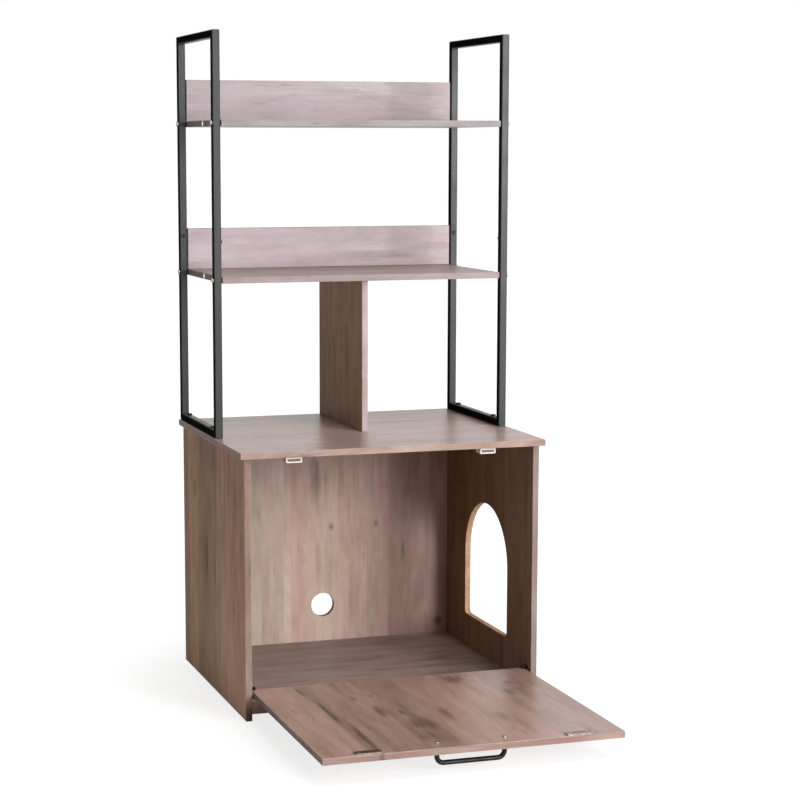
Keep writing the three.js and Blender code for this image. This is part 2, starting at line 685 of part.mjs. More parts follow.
// Centre line of the handle's bar: down one leg, round a bend, along the
// grip, round the other bend and up the other leg.
class HandleLine extends THREE.Curve {
  constructor() {
    super();
    this.leg = HANDLE_PROJECTION - HANDLE_BAR_RADIUS - HANDLE_BEND - SEAT_GAP;
    this.bend = (Math.PI / 2) * HANDLE_BEND;
    this.halfGrip = HANDLE_CENTRES / 2 - HANDLE_BEND;
    this.halfLength = this.leg + this.bend + this.halfGrip;
  }

  // Distance is measured from the middle of the grip.
  getPoint(t, target = new THREE.Vector3()) {
    const distance = (2 * t - 1) * this.halfLength;
    const out = Math.abs(distance);
    const gripZ = -DOOR_FACE - HANDLE_PROJECTION + HANDLE_BAR_RADIUS;
    let x = out;
    let z = gripZ;
    if (out > this.halfGrip + this.bend) {
      x = this.halfGrip + HANDLE_BEND;
      z = gripZ + HANDLE_BEND + (out - this.halfGrip - this.bend);
    } else if (out > this.halfGrip) {
      const angle = (out - this.halfGrip) / HANDLE_BEND;
      x = this.halfGrip + HANDLE_BEND * Math.sin(angle);
      z = gripZ + HANDLE_BEND * (1 - Math.cos(angle));
    }
    return target.set(Math.sign(distance) * x, HANDLE_Y, z);
  }
}

function doorHandle() {
  const section = new THREE.Shape();
  section.absarc(0, 0, HANDLE_BAR_RADIUS, 0, 2 * Math.PI, false);
  const line = new HandleLine();
  const bar = new THREE.ExtrudeGeometry(section, {
    steps: Math.round((2 * line.halfLength) / (line.bend / BEND_STEPS)),
    curveSegments: BAR_SIDES,
    extrudePath: line,
  });
  const foot = -DOOR_FACE - SEAT_GAP;
  const holes = SIDES.map(({ sign }) => rod('z', [sign * HANDLE_CENTRES / 2, HANDLE_Y, 0],
    HANDLE_SCREW_RADIUS + SCREW_CLEARANCE,
    foot - HANDLE_SCREW_ENGAGEMENT - SCREW_CLEARANCE, foot + OVERCUT, SMALL_SIDES));
  return combine(bar, { cut: holes });
}

function handleScrew(sign) {
  return panHeadScrew({
    axis: 'z',
    centre: [sign * HANDLE_CENTRES / 2, HANDLE_Y, 0],
    face: DOOR_FACE + SEAT_GAP,
    sign: 1,
    shank: HANDLE_SCREW_RADIUS,
    length: BOARD + 2 * SEAT_GAP + HANDLE_SCREW_ENGAGEMENT,
    head: HANDLE_SCREW_HEAD,
    headHeight: HANDLE_SCREW_HEAD_HEIGHT,
  });
}

function strikePlate(sign) {
  const middle = sign * CATCH_OFFSET;
  const outline = roundedRectangle(
    middle - PLATE_WIDTH / 2, PLATE_Y - PLATE_HEIGHT / 2,
    middle + PLATE_WIDTH / 2, PLATE_Y + PLATE_HEIGHT / 2, PLATE_CORNER);
  const foot = DOOR_FACE + SEAT_GAP;
  const face = foot + PLATE_THICKNESS;
  const holes = plateScrewXs(sign).map((x) => countersunkHole({
    axis: 'z',
    centre: [x, PLATE_Y, 0],
    face,
    sign: 1,
    length: PLATE_THICKNESS + OVERCUT,
  }));
  return combine(slab(outline, 'z', foot, face), { cut: holes });
}

function plateScrew(x) {
  return flatHeadScrew({
    axis: 'z',
    centre: [x, PLATE_Y, 0],
    face: DOOR_FACE + SEAT_GAP + PLATE_THICKNESS,
    sign: 1,
    length: PLATE_THICKNESS + SEAT_GAP + SMALL_SCREW_GRIP,
  });
}

// -------------------------------------------------------------------- rack

const CAVITY_INSET = TUBE_WALL;
const SLEEVE = TUBE - 2 * TUBE_WALL - 2 * SLEEVE_CLEARANCE;
const SLEEVE_WELD = TUBE - 2 * TUBE_WALL + 2 * WELD_OVERLAP;
const SHELVES = [
  { level: 'lower', foot: LOWER_SHELF },
  { level: 'upper', foot: UPPER_SHELF },
];
const POSTS = [
  { place: 'front', y: POST_FRONT_Y },
  { place: 'rear', y: POST_REAR_Y },
];

// A block centred on a post's axis.
function postBlock(sign, y, width, from, to) {
  const half = width / 2;
  const x = sign * RACK_MIDDLE_X;
  return block([x - half, y - half, from], [x + half, y + half, to]);
}

function frameSlab(sign, outline) {
  const [from, to] = sign > 0 ? [RACK_INNER_X, RACK_OUTER_X] : [-RACK_OUTER_X, -RACK_INNER_X];
  return slab(outline, 'x', from, to, TUBE_CORNER);
}

// The hollow of a tube that lies along Y.
function railCavity(sign, bottom) {
  const half = TUBE / 2 - CAVITY_INSET;
  const x = sign * RACK_MIDDLE_X;
  return block(
    [x - half, RACK_FRONT + CAVITY_INSET, bottom + CAVITY_INSET],
    [x + half, RACK_REAR - CAVITY_INSET, bottom + TUBE - CAVITY_INSET]);
}

function boltHoleAcross(sign, y, z) {
  const near = sign * (RACK_INNER_X - SHELF_END_GAP - OVERCUT);
  const far = sign * (RACK_OUTER_X + OVERCUT);
  return rod('x', [0, y, z], SHELF_BOLT_RADIUS + SCREW_CLEARANCE,
    Math.min(near, far), Math.max(near, far), SMALL_SIDES);
}

// The spacer between a post and the shelf's end, welded to the post.
function boss(sign, y, z) {
  const near = sign * (RACK_INNER_X - SHELF_END_GAP + SEAT_GAP);
  const far = sign * (RACK_INNER_X + TUBE_WALL / 2);
  return rod('x', [0, y, z], BOSS_RADIUS, Math.min(near, far), Math.max(near, far));
}

function lowerFrame(sign) {
  const open = TUBE_JOINT + OVERCUT + TUBE_CORNER;
  const outline = new THREE.Shape();
  outline.moveTo(RACK_FRONT, RACK_BASE);
  outline.lineTo(RACK_REAR, RACK_BASE);
  outline.lineTo(RACK_REAR, open);
  outline.lineTo(RACK_REAR - TUBE, open);
  outline.lineTo(RACK_REAR - TUBE, RACK_BASE + TUBE);
  outline.lineTo(RACK_FRONT + TUBE, RACK_BASE + TUBE);
  outline.lineTo(RACK_FRONT + TUBE, open);
  outline.lineTo(RACK_FRONT, open);
  const cavity = TUBE - 2 * CAVITY_INSET;
  const shelfMiddle = LOWER_SHELF + BOARD / 2;
  const cut = [railCavity(sign, RACK_BASE)];
  const added = [];
  for (const post of POSTS) {
    cut.push(postBlock(sign, post.y, cavity, RACK_BASE + CAVITY_INSET, open + OVERCUT));
    cut.push(postBlock(sign, post.y, 2 * TUBE, TUBE_JOINT, open + OVERCUT));
    cut.push(boltHoleAcross(sign, post.y, shelfMiddle));
    cut.push(jointScrewHole(sign, post));
    added.push(boss(sign, post.y, shelfMiddle));
  }
  for (const y of RAIL_BOLT_YS) {
    cut.push(rod('z', [sign * RACK_MIDDLE_X, y, 0], RAIL_BOLT_RADIUS + SCREW_CLEARANCE,
      RACK_BASE - OVERCUT, RACK_BASE + TUBE + OVERCUT, SMALL_SIDES));
  }
  return combine(frameSlab(sign, outline), { added, cut });
}

function upperFrame(sign) {
  const foot = TUBE_JOINT + SEAT_GAP;
  const open = foot - OVERCUT - TUBE_CORNER;
  const top = RACK_BASE + RACK_HEIGHT;
  const outline = new THREE.Shape();
  outline.moveTo(RACK_FRONT, open);
  outline.lineTo(RACK_FRONT + TUBE, open);
  outline.lineTo(RACK_FRONT + TUBE, top - TUBE);
  outline.lineTo(RACK_REAR - TUBE, top - TUBE);
  outline.lineTo(RACK_REAR - TUBE, open);
  outline.lineTo(RACK_REAR, open);
  outline.lineTo(RACK_REAR, top);
  outline.lineTo(RACK_FRONT, top);
  const cavity = TUBE - 2 * CAVITY_INSET;
  const shelfMiddle = UPPER_SHELF + BOARD / 2;
  const bosses = POSTS.map(({ y }) => boss(sign, y, shelfMiddle));
  const cavities = POSTS.flatMap(({ y }) => [
    postBlock(sign, y, cavity, open - OVERCUT, top - CAVITY_INSET),
    postBlock(sign, y, 2 * TUBE, open - OVERCUT, foot),
  ]);
  const tube = combine(frameSlab(sign, outline), {
    added: bosses,
    cut: [railCavity(sign, top - TUBE), ...cavities],
  });
  const sleeves = POSTS.flatMap(({ y }) => [
    postBlock(sign, y, SLEEVE, TUBE_JOINT - SLEEVE_LENGTH, foot + SLEEVE_ROOT),
    postBlock(sign, y, SLEEVE_WELD, foot + OVERCUT, foot + SLEEVE_ROOT),
  ]);
  const bores = POSTS.flatMap((post) => [
    postBlock(sign, post.y, SLEEVE - 2 * SLEEVE_WALL,
      TUBE_JOINT - SLEEVE_LENGTH - OVERCUT, foot + SLEEVE_ROOT + OVERCUT),
    boltHoleAcross(sign, post.y, shelfMiddle),
    jointScrewHole(sign, post),
  ]);
  return combine(tube, { added: sleeves, cut: bores });
}

// Joint screws go through one wall of the lower post into the sleeve: on the
// front posts through the inner wall, on the rear posts, whose inner walls
// face the back boards' ends, through the front wall.
function jointScrewPlace(sign, post) {
  if (post.place === 'front') {
    return { axis: 'x', centre: [0, post.y, JOINT_SCREW_Z], wall: sign * RACK_INNER_X, facing: -sign };
  }
  const centre = [sign * RACK_MIDDLE_X, 0, JOINT_SCREW_Z];
  return { axis: 'y', centre, wall: post.y - TUBE / 2, facing: -1 };
}

function jointScrewHole(sign, post) {
  const { axis, centre, wall, facing } = jointScrewPlace(sign, post);
  const outside = wall + facing * OVERCUT;
  const inside = wall - facing * TUBE / 2;
  return rod(axis, centre, JOINT_SCREW_RADIUS + SCREW_CLEARANCE,
    Math.min(outside, inside), Math.max(outside, inside), SMALL_SIDES);
}

function jointScrew(sign, post) {
  const { axis, centre, wall, facing } = jointScrewPlace(sign, post);
  return panHeadScrew({
    axis,
    centre,
    face: wall + facing * SEAT_GAP,
    sign: facing,
    shank: JOINT_SCREW_RADIUS,
    length: SEAT_GAP + TUBE_WALL + SLEEVE_CLEARANCE + SLEEVE_WALL + JOINT_SCREW_TIP,
    head: JOINT_SCREW_HEAD,
    headHeight: JOINT_SCREW_HEAD_HEIGHT,
  });
}

function railBolt(sign, y) {
  return panHeadScrew({
    axis: 'z',
    centre: [sign * RACK_MIDDLE_X, y, 0],
    face: RACK_BASE + TUBE + SEAT_GAP,
    sign: 1,
    shank: RAIL_BOLT_RADIUS,
    length: TUBE + 2 * SEAT_GAP + RAIL_BOLT_IN_TOP,
    head: RAIL_BOLT_HEAD,
    headHeight: RAIL_BOLT_HEAD_HEIGHT,
  });
}

function shelfBolt(sign, y, foot) {
  return panHeadScrew({
    axis: 'x',
    centre: [0, y, foot + BOARD / 2],
    face: sign * (RACK_OUTER_X + SEAT_GAP),
    sign,
    shank: SHELF_BOLT_RADIUS,
    length: SEAT_GAP + TUBE + SHELF_END_GAP + SHELF_BOLT_GRIP,
    head: SHELF_BOLT_HEAD,
    headHeight: SHELF_BOLT_HEAD_HEIGHT,
  });
}

// ---------------------------------------------- shelves and upright boards

const SHELF_MIDDLE_Y = (RACK_FRONT + RACK_REAR) / 2;
const BACK_BOARD_DOWELS = spread(DOWEL_EDGE - BACK_BOARD_HALF_LENGTH, BACK_BOARD_HALF_LENGTH - DOWEL_EDGE, 3)
  .map((x) => [x, BACK_BOARD_FRONT + BOARD / 2, 0]);

function shelf({ level, foot }) {
  const top = foot + BOARD;
  const panel = board('z', [-SHELF_HALF_LENGTH, RACK_FRONT, foot], [SHELF_HALF_LENGTH, RACK_REAR, top]);
  const cut = dowelHoles('z', BACK_BOARD_DOWELS, top, -1);
  if (level === 'lower') {
    cut.push(...dowelHoles('z', DIVIDER_DOWELS, foot, 1));
  }
  for (const { sign } of SIDES) {
    for (const { y } of POSTS) {
      cut.push(endHole(sign, y, foot, SHELF_BOLT_RADIUS + SCREW_CLEARANCE, SHELF_BOLT_GRIP));
    }
    cut.push(endHole(sign, SHELF_MIDDLE_Y, foot, PLUG_RADIUS + PLUG_CLEARANCE, PLUG_DEPTH));
  }
  return combine(panel, { cut });
}

// A blind hole bored into a shelf's end.
function endHole(sign, y, foot, radius, depth) {
  const near = sign * (SHELF_HALF_LENGTH + OVERCUT);
  const far = sign * (SHELF_HALF_LENGTH - depth - SCREW_CLEARANCE);
  return rod('x', [0, y, foot + BOARD / 2], radius, Math.min(near, far), Math.max(near, far), SMALL_SIDES);
}

function edgePlug(sign, foot) {
  const root = SHELF_HALF_LENGTH - PLUG_DEPTH;
  const face = SHELF_HALF_LENGTH + PLUG_PROUD;
  return turned('x', [0, SHELF_MIDDLE_Y, foot + BOARD / 2],
    towards(sign, [[0, root], [PLUG_RADIUS, root], [PLUG_RADIUS, face], [0, face]]), SMALL_SIDES);
}

function backBoard({ foot }) {
  const bottom = foot + BOARD + SEAT_GAP;
  const panel = board('y',
    [-BACK_BOARD_HALF_LENGTH, BACK_BOARD_FRONT, bottom],
    [BACK_BOARD_HALF_LENGTH, BACK_BOARD_REAR, foot + BOARD + BACK_BOARD_HEIGHT]);
  return combine(panel, { added: dowels('z', BACK_BOARD_DOWELS, bottom, -1) });
}

function divider() {
  const bottom = TOP_FACE + SEAT_GAP;
  const top = LOWER_SHELF - SEAT_GAP;
  const panel = board('x',
    [DIVIDER_OFFSET - BOARD / 2, DIVIDER_FRONT, bottom],
    [DIVIDER_OFFSET + BOARD / 2, RACK_REAR, top]);
  return combine(panel, {
    added: [...dowels('z', DIVIDER_DOWELS, bottom, -1), ...dowels('z', DIVIDER_DOWELS, top, 1)],
  });
}

// ---------------------------------------------------------------- assembly

function cabinetGroup() {
  const group = new THREE.Group();
  for (const { side, sign } of SIDES) {
    group.add(piece(`${side}_side_panel`, sidePanel(side, sign), BOARD_LOOK));
    group.add(piece(`pivot_bush_${side}`, pivotBush(sign), BLACK_PLASTIC_LOOK));
    group.add(piece(`door_stop_${side}`, doorStop(sign), BLACK_PLASTIC_LOOK));
    group.add(piece(`catch_housing_${side}`, catchHousing(sign), CREAM_PLASTIC_LOOK));
    group.add(piece(`catch_magnet_${side}`, catchMagnet(sign), MAGNET_LOOK));
    catchScrewXs(sign).forEach((x, i) => {
      group.add(piece(`catch_screw_${side}_${i + 1}`, catchScrew(x), ZINC_LOOK));
    });
  }
  group.add(piece('cabinet_top_panel', topPanel(), BOARD_LOOK));
  group.add(piece('floor_panel', floorPanel(), BOARD_LOOK));
  group.add(piece('back_panel', backPanel(), BOARD_LOOK));
  return group;
}

function doorGroup() {
  const group = new THREE.Group();
  group.position.set(0, PIVOT_INSET, PIVOT_HEIGHT);
  group.add(piece('door_panel', doorPanel(), BOARD_LOOK));
  group.add(piece('door_handle', doorHandle(), BLACK_STEEL_LOOK));
  for (const { side, sign } of SIDES) {
    group.add(piece(`pivot_pin_${side}`, pivotPin(sign), ZINC_LOOK));
    group.add(piece(`handle_screw_${side}`, handleScrew(sign), ZINC_LOOK));
    group.add(piece(`strike_plate_${side}`, strikePlate(sign), ZINC_LOOK));
    plateScrewXs(sign).forEach((x, i) => {
      group.add(piece(`strike_screw_${side}_${i + 1}`, plateScrew(x), ZINC_LOOK));
    });
  }
  return group;
}

function rackGroup() {
  const group = new THREE.Group();
  for (const { side, sign } of SIDES) {
    group.add(piece(`lower_frame_${side}`, lowerFrame(sign), TUBE_LOOK));
    group.add(piece(`upper_frame_${side}`, upperFrame(sign), TUBE_LOOK));
    POSTS.forEach((post, i) => {
      const { place, y } = post;
      group.add(piece(`joint_screw_${side}_${place}`, jointScrew(sign, post), BLACK_STEEL_LOOK));
      group.add(piece(`rail_bolt_${side}_${place}`, railBolt(sign, RAIL_BOLT_YS[i]), BLACK_STEEL_LOOK));
      for (const { level, foot } of SHELVES) {
        group.add(piece(`${level}_shelf_bolt_${side}_${place}`, shelfBolt(sign, y, foot), ZINC_LOOK));
      }
    });
    for (const { level, foot } of SHELVES) {
      group.add(piece(`${level}_shelf_plug_${side}`, edgePlug(sign, foot), WHITE_PLUG_LOOK));
    }
  }
  for (const tier of SHELVES) {
    group.add(piece(`${tier.level}_shelf`, shelf(tier), BOARD_LOOK));
    group.add(piece(`${tier.level}_back_board`, backBoard(tier), BOARD_LOOK));
  }
  group.add(piece('divider_panel', divider(), BOARD_LOOK));
  return group;
}

// The origin lies on the floor, under the middle of the open cabinet.
const cabinet = new THREE.Group();
cabinet.name = 'litter_box_cabinet';
cabinet.position.y = -MIDDLE_Y;
cabinet.add(cabinetGroup(), doorGroup(), rackGroup());

export default cabinet;
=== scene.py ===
"""Looks of a litter box cabinet with a two-shelf rack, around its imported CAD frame.

Metres, +Z up, in the frame's own axes: the front looks along -Y, the cat's
doorway is in the right-hand (+X) side panel, and the flap door lies open.
"""

import json
import math

import bpy
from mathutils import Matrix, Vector


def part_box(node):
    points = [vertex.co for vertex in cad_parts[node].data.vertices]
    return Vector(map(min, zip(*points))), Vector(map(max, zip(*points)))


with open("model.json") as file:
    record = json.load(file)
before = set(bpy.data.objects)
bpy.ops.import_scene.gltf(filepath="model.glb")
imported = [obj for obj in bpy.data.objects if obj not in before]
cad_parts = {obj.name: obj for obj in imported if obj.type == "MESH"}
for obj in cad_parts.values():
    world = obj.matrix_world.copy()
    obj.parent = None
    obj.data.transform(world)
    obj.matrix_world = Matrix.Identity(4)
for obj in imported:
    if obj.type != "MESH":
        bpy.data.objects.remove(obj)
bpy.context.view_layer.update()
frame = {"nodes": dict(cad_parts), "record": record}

X, Y, Z = 0, 1, 2

# ------------------------------------------------------------------ camera

CAMERA_PLACE = (-1.2325, -3.65197, 1.0589)
CAMERA_YAW = 0.3085  # radians, turned to the right
CAMERA_PITCH = 0.1377  # radians, tipped down
CAMERA_SENSOR = 36.0  # millimetres, as is the lens
CAMERA_LENS = 93.094
CAMERA_SHIFT = (0.05576, 0.04211)
CAMERA_FAR = 100.0


def make_camera():
    data = bpy.data.cameras.new("camera")
    data.sensor_width = CAMERA_SENSOR
    data.lens = CAMERA_LENS
    data.shift_x, data.shift_y = CAMERA_SHIFT
    data.clip_end = CAMERA_FAR
    camera = bpy.data.objects.new("camera", data)
    camera.location = CAMERA_PLACE
    camera.rotation_euler = (math.pi / 2 - CAMERA_PITCH, 0.0, -CAMERA_YAW)
    bpy.context.collection.objects.link(camera)
    bpy.context.scene.camera = camera


# --------------------------------------------------------- colours and nodes


def linear(code):
    """An sRGB colour written as a hex number, in linear light, with alpha."""
    parts = [(code >> shift & 255) / 255.0 for shift in (16, 8, 0)]
    light = [p / 12.92 if p <= 0.04045 else ((p + 0.055) / 1.055) ** 2.4 for p in parts]
    return (*light, 1.0)


class Nodes:
    """Short calls for building a node tree."""

    def __init__(self, tree):
        self.tree = tree

    def add(self, kind, **settings):
        node = self.tree.nodes.new(kind)
        for name, value in settings.items():
            setattr(node, name, value)
        return node

    def put(self, value, socket):
        """Links a socket, or sets a plain value. None leaves the socket alone."""
        if isinstance(value, bpy.types.NodeSocket):
            self.tree.links.new(value, socket)
        elif value is not None:
            socket.default_value = value

    def fill(self, node, values):
        """Puts the values into the node's first inputs."""
        for value, socket in zip(values, node.inputs):
            self.put(value, socket)

    def place(self):
        """The place on the object at rest, in metres."""
        return self.add("ShaderNodeTexCoord").outputs["Object"]

    def math(self, operation, *values):
        node = self.add("ShaderNodeMath", operation=operation)
        self.fill(node, values)
        return node.outputs[0]

    def plus(self, a, b):
        return self.math("ADD", a, b)

    def minus(self, a, b):
        return self.math("SUBTRACT", a, b)

    def times(self, a, b):
        return self.math("MULTIPLY", a, b)

    def vector(self, operation, *values):
        node = self.add("ShaderNodeVectorMath", operation=operation)
        self.fill(node, values)
        return node.outputs["Value" if operation in ("LENGTH", "DOT_PRODUCT") else "Vector"]

    def split(self, vector):
        node = self.add("ShaderNodeSeparateXYZ")
        self.put(vector, node.inputs[0])
        return node.outputs

    def join(self, x, y, z):
        node = self.add("ShaderNodeCombineXYZ")
        self.fill(node, (x, y, z))
        return node.outputs[0]

    def noise(self, vector, scale=1.0, detail=2.0, roughness=0.5, distortion=0.0):
        node = self.add("ShaderNodeTexNoise")
        self.put(vector, node.inputs["Vector"])
        self.put(scale, node.inputs["Scale"])
        self.put(detail, node.inputs["Detail"])
        self.put(roughness, node.inputs["Roughness"])
        self.put(distortion, node.inputs["Distortion"])
        return node.outputs["Fac"]

    def stretched(self, vector, factors):
        return self.vector("MULTIPLY", vector, factors)

    def grain(self, place, across, along, **settings):
        """Noise drawn out along the grain, Z: features per metre across and along it."""
        return self.noise(self.stretched(place, (across, across, along)), **settings)

    def swing(self, noise, width):
        """A noise made into a value around zero, `width` from its lowest to its highest."""
        return self.times(self.minus(noise, 0.5), width)

    def remap(self, value, low, high, to_low=0.0, to_high=1.0, smooth=True):
        kind = "SMOOTHSTEP" if smooth else "LINEAR"
        node = self.add("ShaderNodeMapRange", interpolation_type=kind)
        self.fill(node, (value, low, high, to_low, to_high))
        return node.outputs[0]

    def varied(self, noise, middle, below, above, smooth=True):
        """A value that goes with the noise from below the middle to above it."""
        return self.remap(noise, 0.3, 0.7, middle - below, middle + above, smooth)

    def mixed(self, kind, pair, fac, a, b, **settings):
        """A Mix node. Its pairs of inputs are numbers (0), vectors (1) and colours (2)."""
        node = self.add("ShaderNodeMix", data_type=kind, **settings)
        self.put(fac, node.inputs[0])
        self.put(a, node.inputs[2 + 2 * pair])
        self.put(b, node.inputs[3 + 2 * pair])
        return node.outputs[pair]

    def mix_numbers(self, fac, a, b):
        return self.mixed("FLOAT", 0, fac, a, b)

    def mix_vectors(self, fac, a, b):
        return self.mixed("VECTOR", 1, fac, a, b)

    def mix(self, fac, a, b):
        return self.mixed("RGBA", 2, fac, a, b)

    def tinted(self, colour, tint):
        return self.mixed("RGBA", 2, 1.0, colour, tint, blend_type="MULTIPLY")

    def ramp(self, fac, stops):
        node = self.add("ShaderNodeValToRGB")
        elements = node.color_ramp.elements
        while len(elements) < len(stops):
            elements.new(0.5)
        for element, (place, colour) in zip(elements, stops):
            element.position = place
            element.color = colour
        self.put(fac, node.inputs[0])
        return node.outputs[0]

    def bump(self, height, distance, normal=None):
        """A bumpy normal. `distance` is in metres."""
        node = self.add("ShaderNodeBump")
        self.put(distance, node.inputs["Distance"])
        self.put(height, node.inputs["Height"])
        self.put(normal, node.inputs["Normal"])
        return node.outputs[0]


def new_material(name):
    material = bpy.data.materials.new(name)
    material.use_nodes = True
    nodes = Nodes(material.node_tree)
    shader = material.node_tree.nodes["Principled BSDF"]
    return material, nodes, shader


EDGE_SAMPLES = 4
FLAT_COSINE = 0.99


def edge_highlight_and_rounding(n, radius, sharp_cosine, most=1.0):
    """How strong a painted highlight a place gets, from 0 on the flat to `most` on a sharp
    edge, and the normal as if the edges were rounded by `radius`."""
    bevel = n.add("ShaderNodeBevel", samples=EDGE_SAMPLES)
    n.put(radius, bevel.inputs["Radius"])
    rounded = bevel.outputs[0]
    plain_normal = n.add("ShaderNodeNewGeometry").outputs["Normal"]
    turn = n.vector("DOT_PRODUCT", rounded, plain_normal)
    return n.remap(turn, sharp_cosine, FLAT_COSINE, most, 0.0), rounded


def dress(node, material):
    slots = frame["nodes"][node].material_slots
    if not slots:
        frame["nodes"][node].data.materials.append(material)
    for slot in slots:
        slot.material = material


# --------------------------------------------------------------- printed oak

# Dark to pale tones of the print, around a middle one.
OAK_TONES = [
    (0.0, linear(0x4A3931)),
    (0.25, linear(0x7C675C)),
    (0.5, linear(0xA48E84)),
    (0.75, linear(0xBFADA4)),
    (1.0, linear(0xD8CAC3)),
]
OAK_GREY_TINT = linear(0xF9F9F3)
OAK_PINK_TINT = linear(0xFFF6F3)
OAK_COOL_TINT = linear(0xE6E8F2)
COOL_STRENGTH = 0.4

STAVES_PER_METRE = 12.0
STAVE_UNEVENNESS = 0.85
LOG_SHIFT = 3.0  # the staves are cut from places up to this far apart in the log
GRAIN_WANDER = 0.045

KNOT_CELLS = (9.0, 1.0, 4.2)  # per metre across, through and along the board
KNOT_RAGGEDNESS = 0.25
CELLS_WITHOUT_KNOT = 0.45
FIGURE_LINES = 21.0

# What each layer of the print adds to the tone, and what each mark takes from it.
MIDDLE_TONE = 0.53
STAVE_TONE = 0.07
CLOUD_TONE = 0.7
STREAK_TONE = 0.26
FIBRE_TONE = 0.2
LINE_DEPTH = 0.1
DASH_DEPTH = 0.2
PORE_DEPTH = 0.07
KNOT_DEPTH = 0.12
KNOT_CORE_DEPTH = 0.3


def oak_sockets(sockets):
    sockets.new_socket("Place", in_out="INPUT", socket_type="NodeSocketVector")
    for name in ("Knots", "Figure", "Lift", "Contrast"):
        sockets.new_socket(name, in_out="INPUT", socket_type="NodeSocketFloat")
    sockets.new_socket("Color", in_out="OUTPUT", socket_type="NodeSocketColor")
    for name in ("Height", "Fibres"):
        sockets.new_socket(name, in_out="OUTPUT", socket_type="NodeSocketFloat")


def oak_staves(n, place):
    """Straight strips, each cut from another place in the log. Gives the random
    values of each, and the place with the wandering of its grain."""
    node = n.add("ShaderNodeTexVoronoi", voronoi_dimensions="1D", feature="F1")
    n.put(n.times(n.split(place)[X], STAVES_PER_METRE), node.inputs["W"])
    n.put(STAVE_UNEVENNESS, node.inputs["Randomness"])
    stave = n.split(node.outputs["Color"])
    moved = n.vector("ADD", place, n.join(0.0, 0.0, n.times(stave[2], LOG_SHIFT)))
    wander = n.swing(n.grain(moved, 4.0, 1.8), GRAIN_WANDER)
    return stave, n.vector("ADD", moved, n.join(wander, 0.0, 0.0))


def oak_knots(n, bent):
    """Knots, few and long: how near one is, and its dark core."""
    ragged = n.swing(n.noise(bent, scale=60.0), KNOT_RAGGEDNESS)
    cell = n.vector("ADD", n.stretched(bent, KNOT_CELLS), n.join(ragged, 0.0, ragged))
    node = n.add("ShaderNodeTexVoronoi", voronoi_dimensions="3D", feature="F1")
    n.put(cell, node.inputs["Vector"])
    n.put(1.0, node.inputs["Scale"])
    n.put(1.0, node.inputs["Randomness"])
    distance = node.outputs["Distance"]
    chosen = n.math("GREATER_THAN", n.split(node.outputs["Color"])[0], CELLS_WITHOUT_KNOT)
    near = n.times(n.remap(distance, 0.0, 0.4, 1.0, 0.0), chosen)
    core = n.times(n.remap(distance, 0.03, 0.12, 1.0, 0.0), chosen)
    return near, core


def oak_lines(n, bent, streaks, near):
    """Broken lines of the figure, close together round the knots."""
    field = n.plus(n.grain(bent, 5.0, 1.3), n.times(near, 0.2))
    rings = n.math("FRACT", n.times(field, FIGURE_LINES))
    from_middle = n.math("ABSOLUTE", n.minus(n.times(rings, 2.0), 1.0))
    line = n.remap(n.minus(1.0, from_middle), 0.35, 1.0)
    broken = n.times(line, n.remap(streaks, 0.38, 0.66))
    figured = n.remap(n.grain(bent, 8.0, 2.6, detail=1.0), 0.4, 0.62)
    return n.times(broken, n.math("MAXIMUM", figured, near))


def oak_dashes(n, bent):
    """Dark dashes where the log had small checks."""
    dash = n.remap(n.grain(bent, 150.0, 14.0), 0.6, 0.74)
    where = n.remap(n.grain(bent, 11.0, 5.0, detail=1.0), 0.5, 0.68)
    return n.times(dash, where)


def oak_colour(n, tone, stave, bent):
    """The tone's colour. Its tint drifts between greyish green and pink, from stave
    to stave and along each, and has cooler patches."""
    drift = n.grain(bent, 9.0, 2.2)
    tinting = n.remap(n.plus(n.times(stave[1], 0.5), n.times(drift, 0.5)), 0.3, 0.62)
    colour = n.tinted(n.ramp(tone, OAK_TONES), n.mix(tinting, OAK_GREY_TINT, OAK_PINK_TINT))
    cool = n.remap(n.grain(bent, 19.0, 4.5), 0.56, 0.72)
    return n.mix(n.times(cool, COOL_STRENGTH), colour, n.tinted(colour, OAK_COOL_TINT))


def oak_group():
    """The printed oak, in grain space: X across the grain, Y through the
    board, Z along the grain, in metres."""
    tree = bpy.data.node_groups.new("greyed_oak", "ShaderNodeTree")
    oak_sockets(tree.interface)
    n = Nodes(tree)
    given = n.add("NodeGroupInput").outputs
    stave, bent = oak_staves(n, given["Place"])

    cloud = n.grain(bent, 13.0, 6.0, detail=4.0, roughness=0.62, distortion=0.6)
    streaks = n.grain(bent, 60.0, 4.2, detail=4.0, roughness=0.65)
    fibres = n.grain(bent, 300.0, 10.0, detail=4.0, roughness=0.65)
    pores = n.remap(n.grain(bent, 900.0, 38.0, detail=1.0), 0.6, 0.78)
    dashes = oak_dashes(n, bent)
    near, core = oak_knots(n, bent)
    lines = n.times(oak_lines(n, bent, streaks, near), given["Figure"])
    knots = n.plus(n.times(near, KNOT_DEPTH), n.times(core, KNOT_CORE_DEPTH))

    tone = n.swing(stave[0], STAVE_TONE)
    for layer, weight in ((cloud, CLOUD_TONE), (streaks, STREAK_TONE), (fibres, FIBRE_TONE)):
        tone = n.plus(tone, n.swing(layer, weight))
    for mark, depth in ((lines, LINE_DEPTH), (dashes, DASH_DEPTH), (pores, PORE_DEPTH)):
        tone = n.minus(tone, n.times(mark, depth))
    tone = n.minus(tone, n.times(knots, given["Knots"]))
    tone = n.plus(n.times(tone, given["Contrast"]), n.plus(MIDDLE_TONE, given["Lift"]))

    height = n.plus(n.times(fibres, 0.6), n.times(streaks, 0.5))
    out = n.add("NodeGroupOutput")
    n.put(oak_colour(n, tone, stave, bent), out.inputs["Color"])
    n.put(n.minus(height, n.times(pores, 0.7)), out.inputs["Height"])
    n.put(fibres, out.inputs["Fibres"])
    return tree


OAK = oak_group()

# -------------------------------------------------------------------- boards

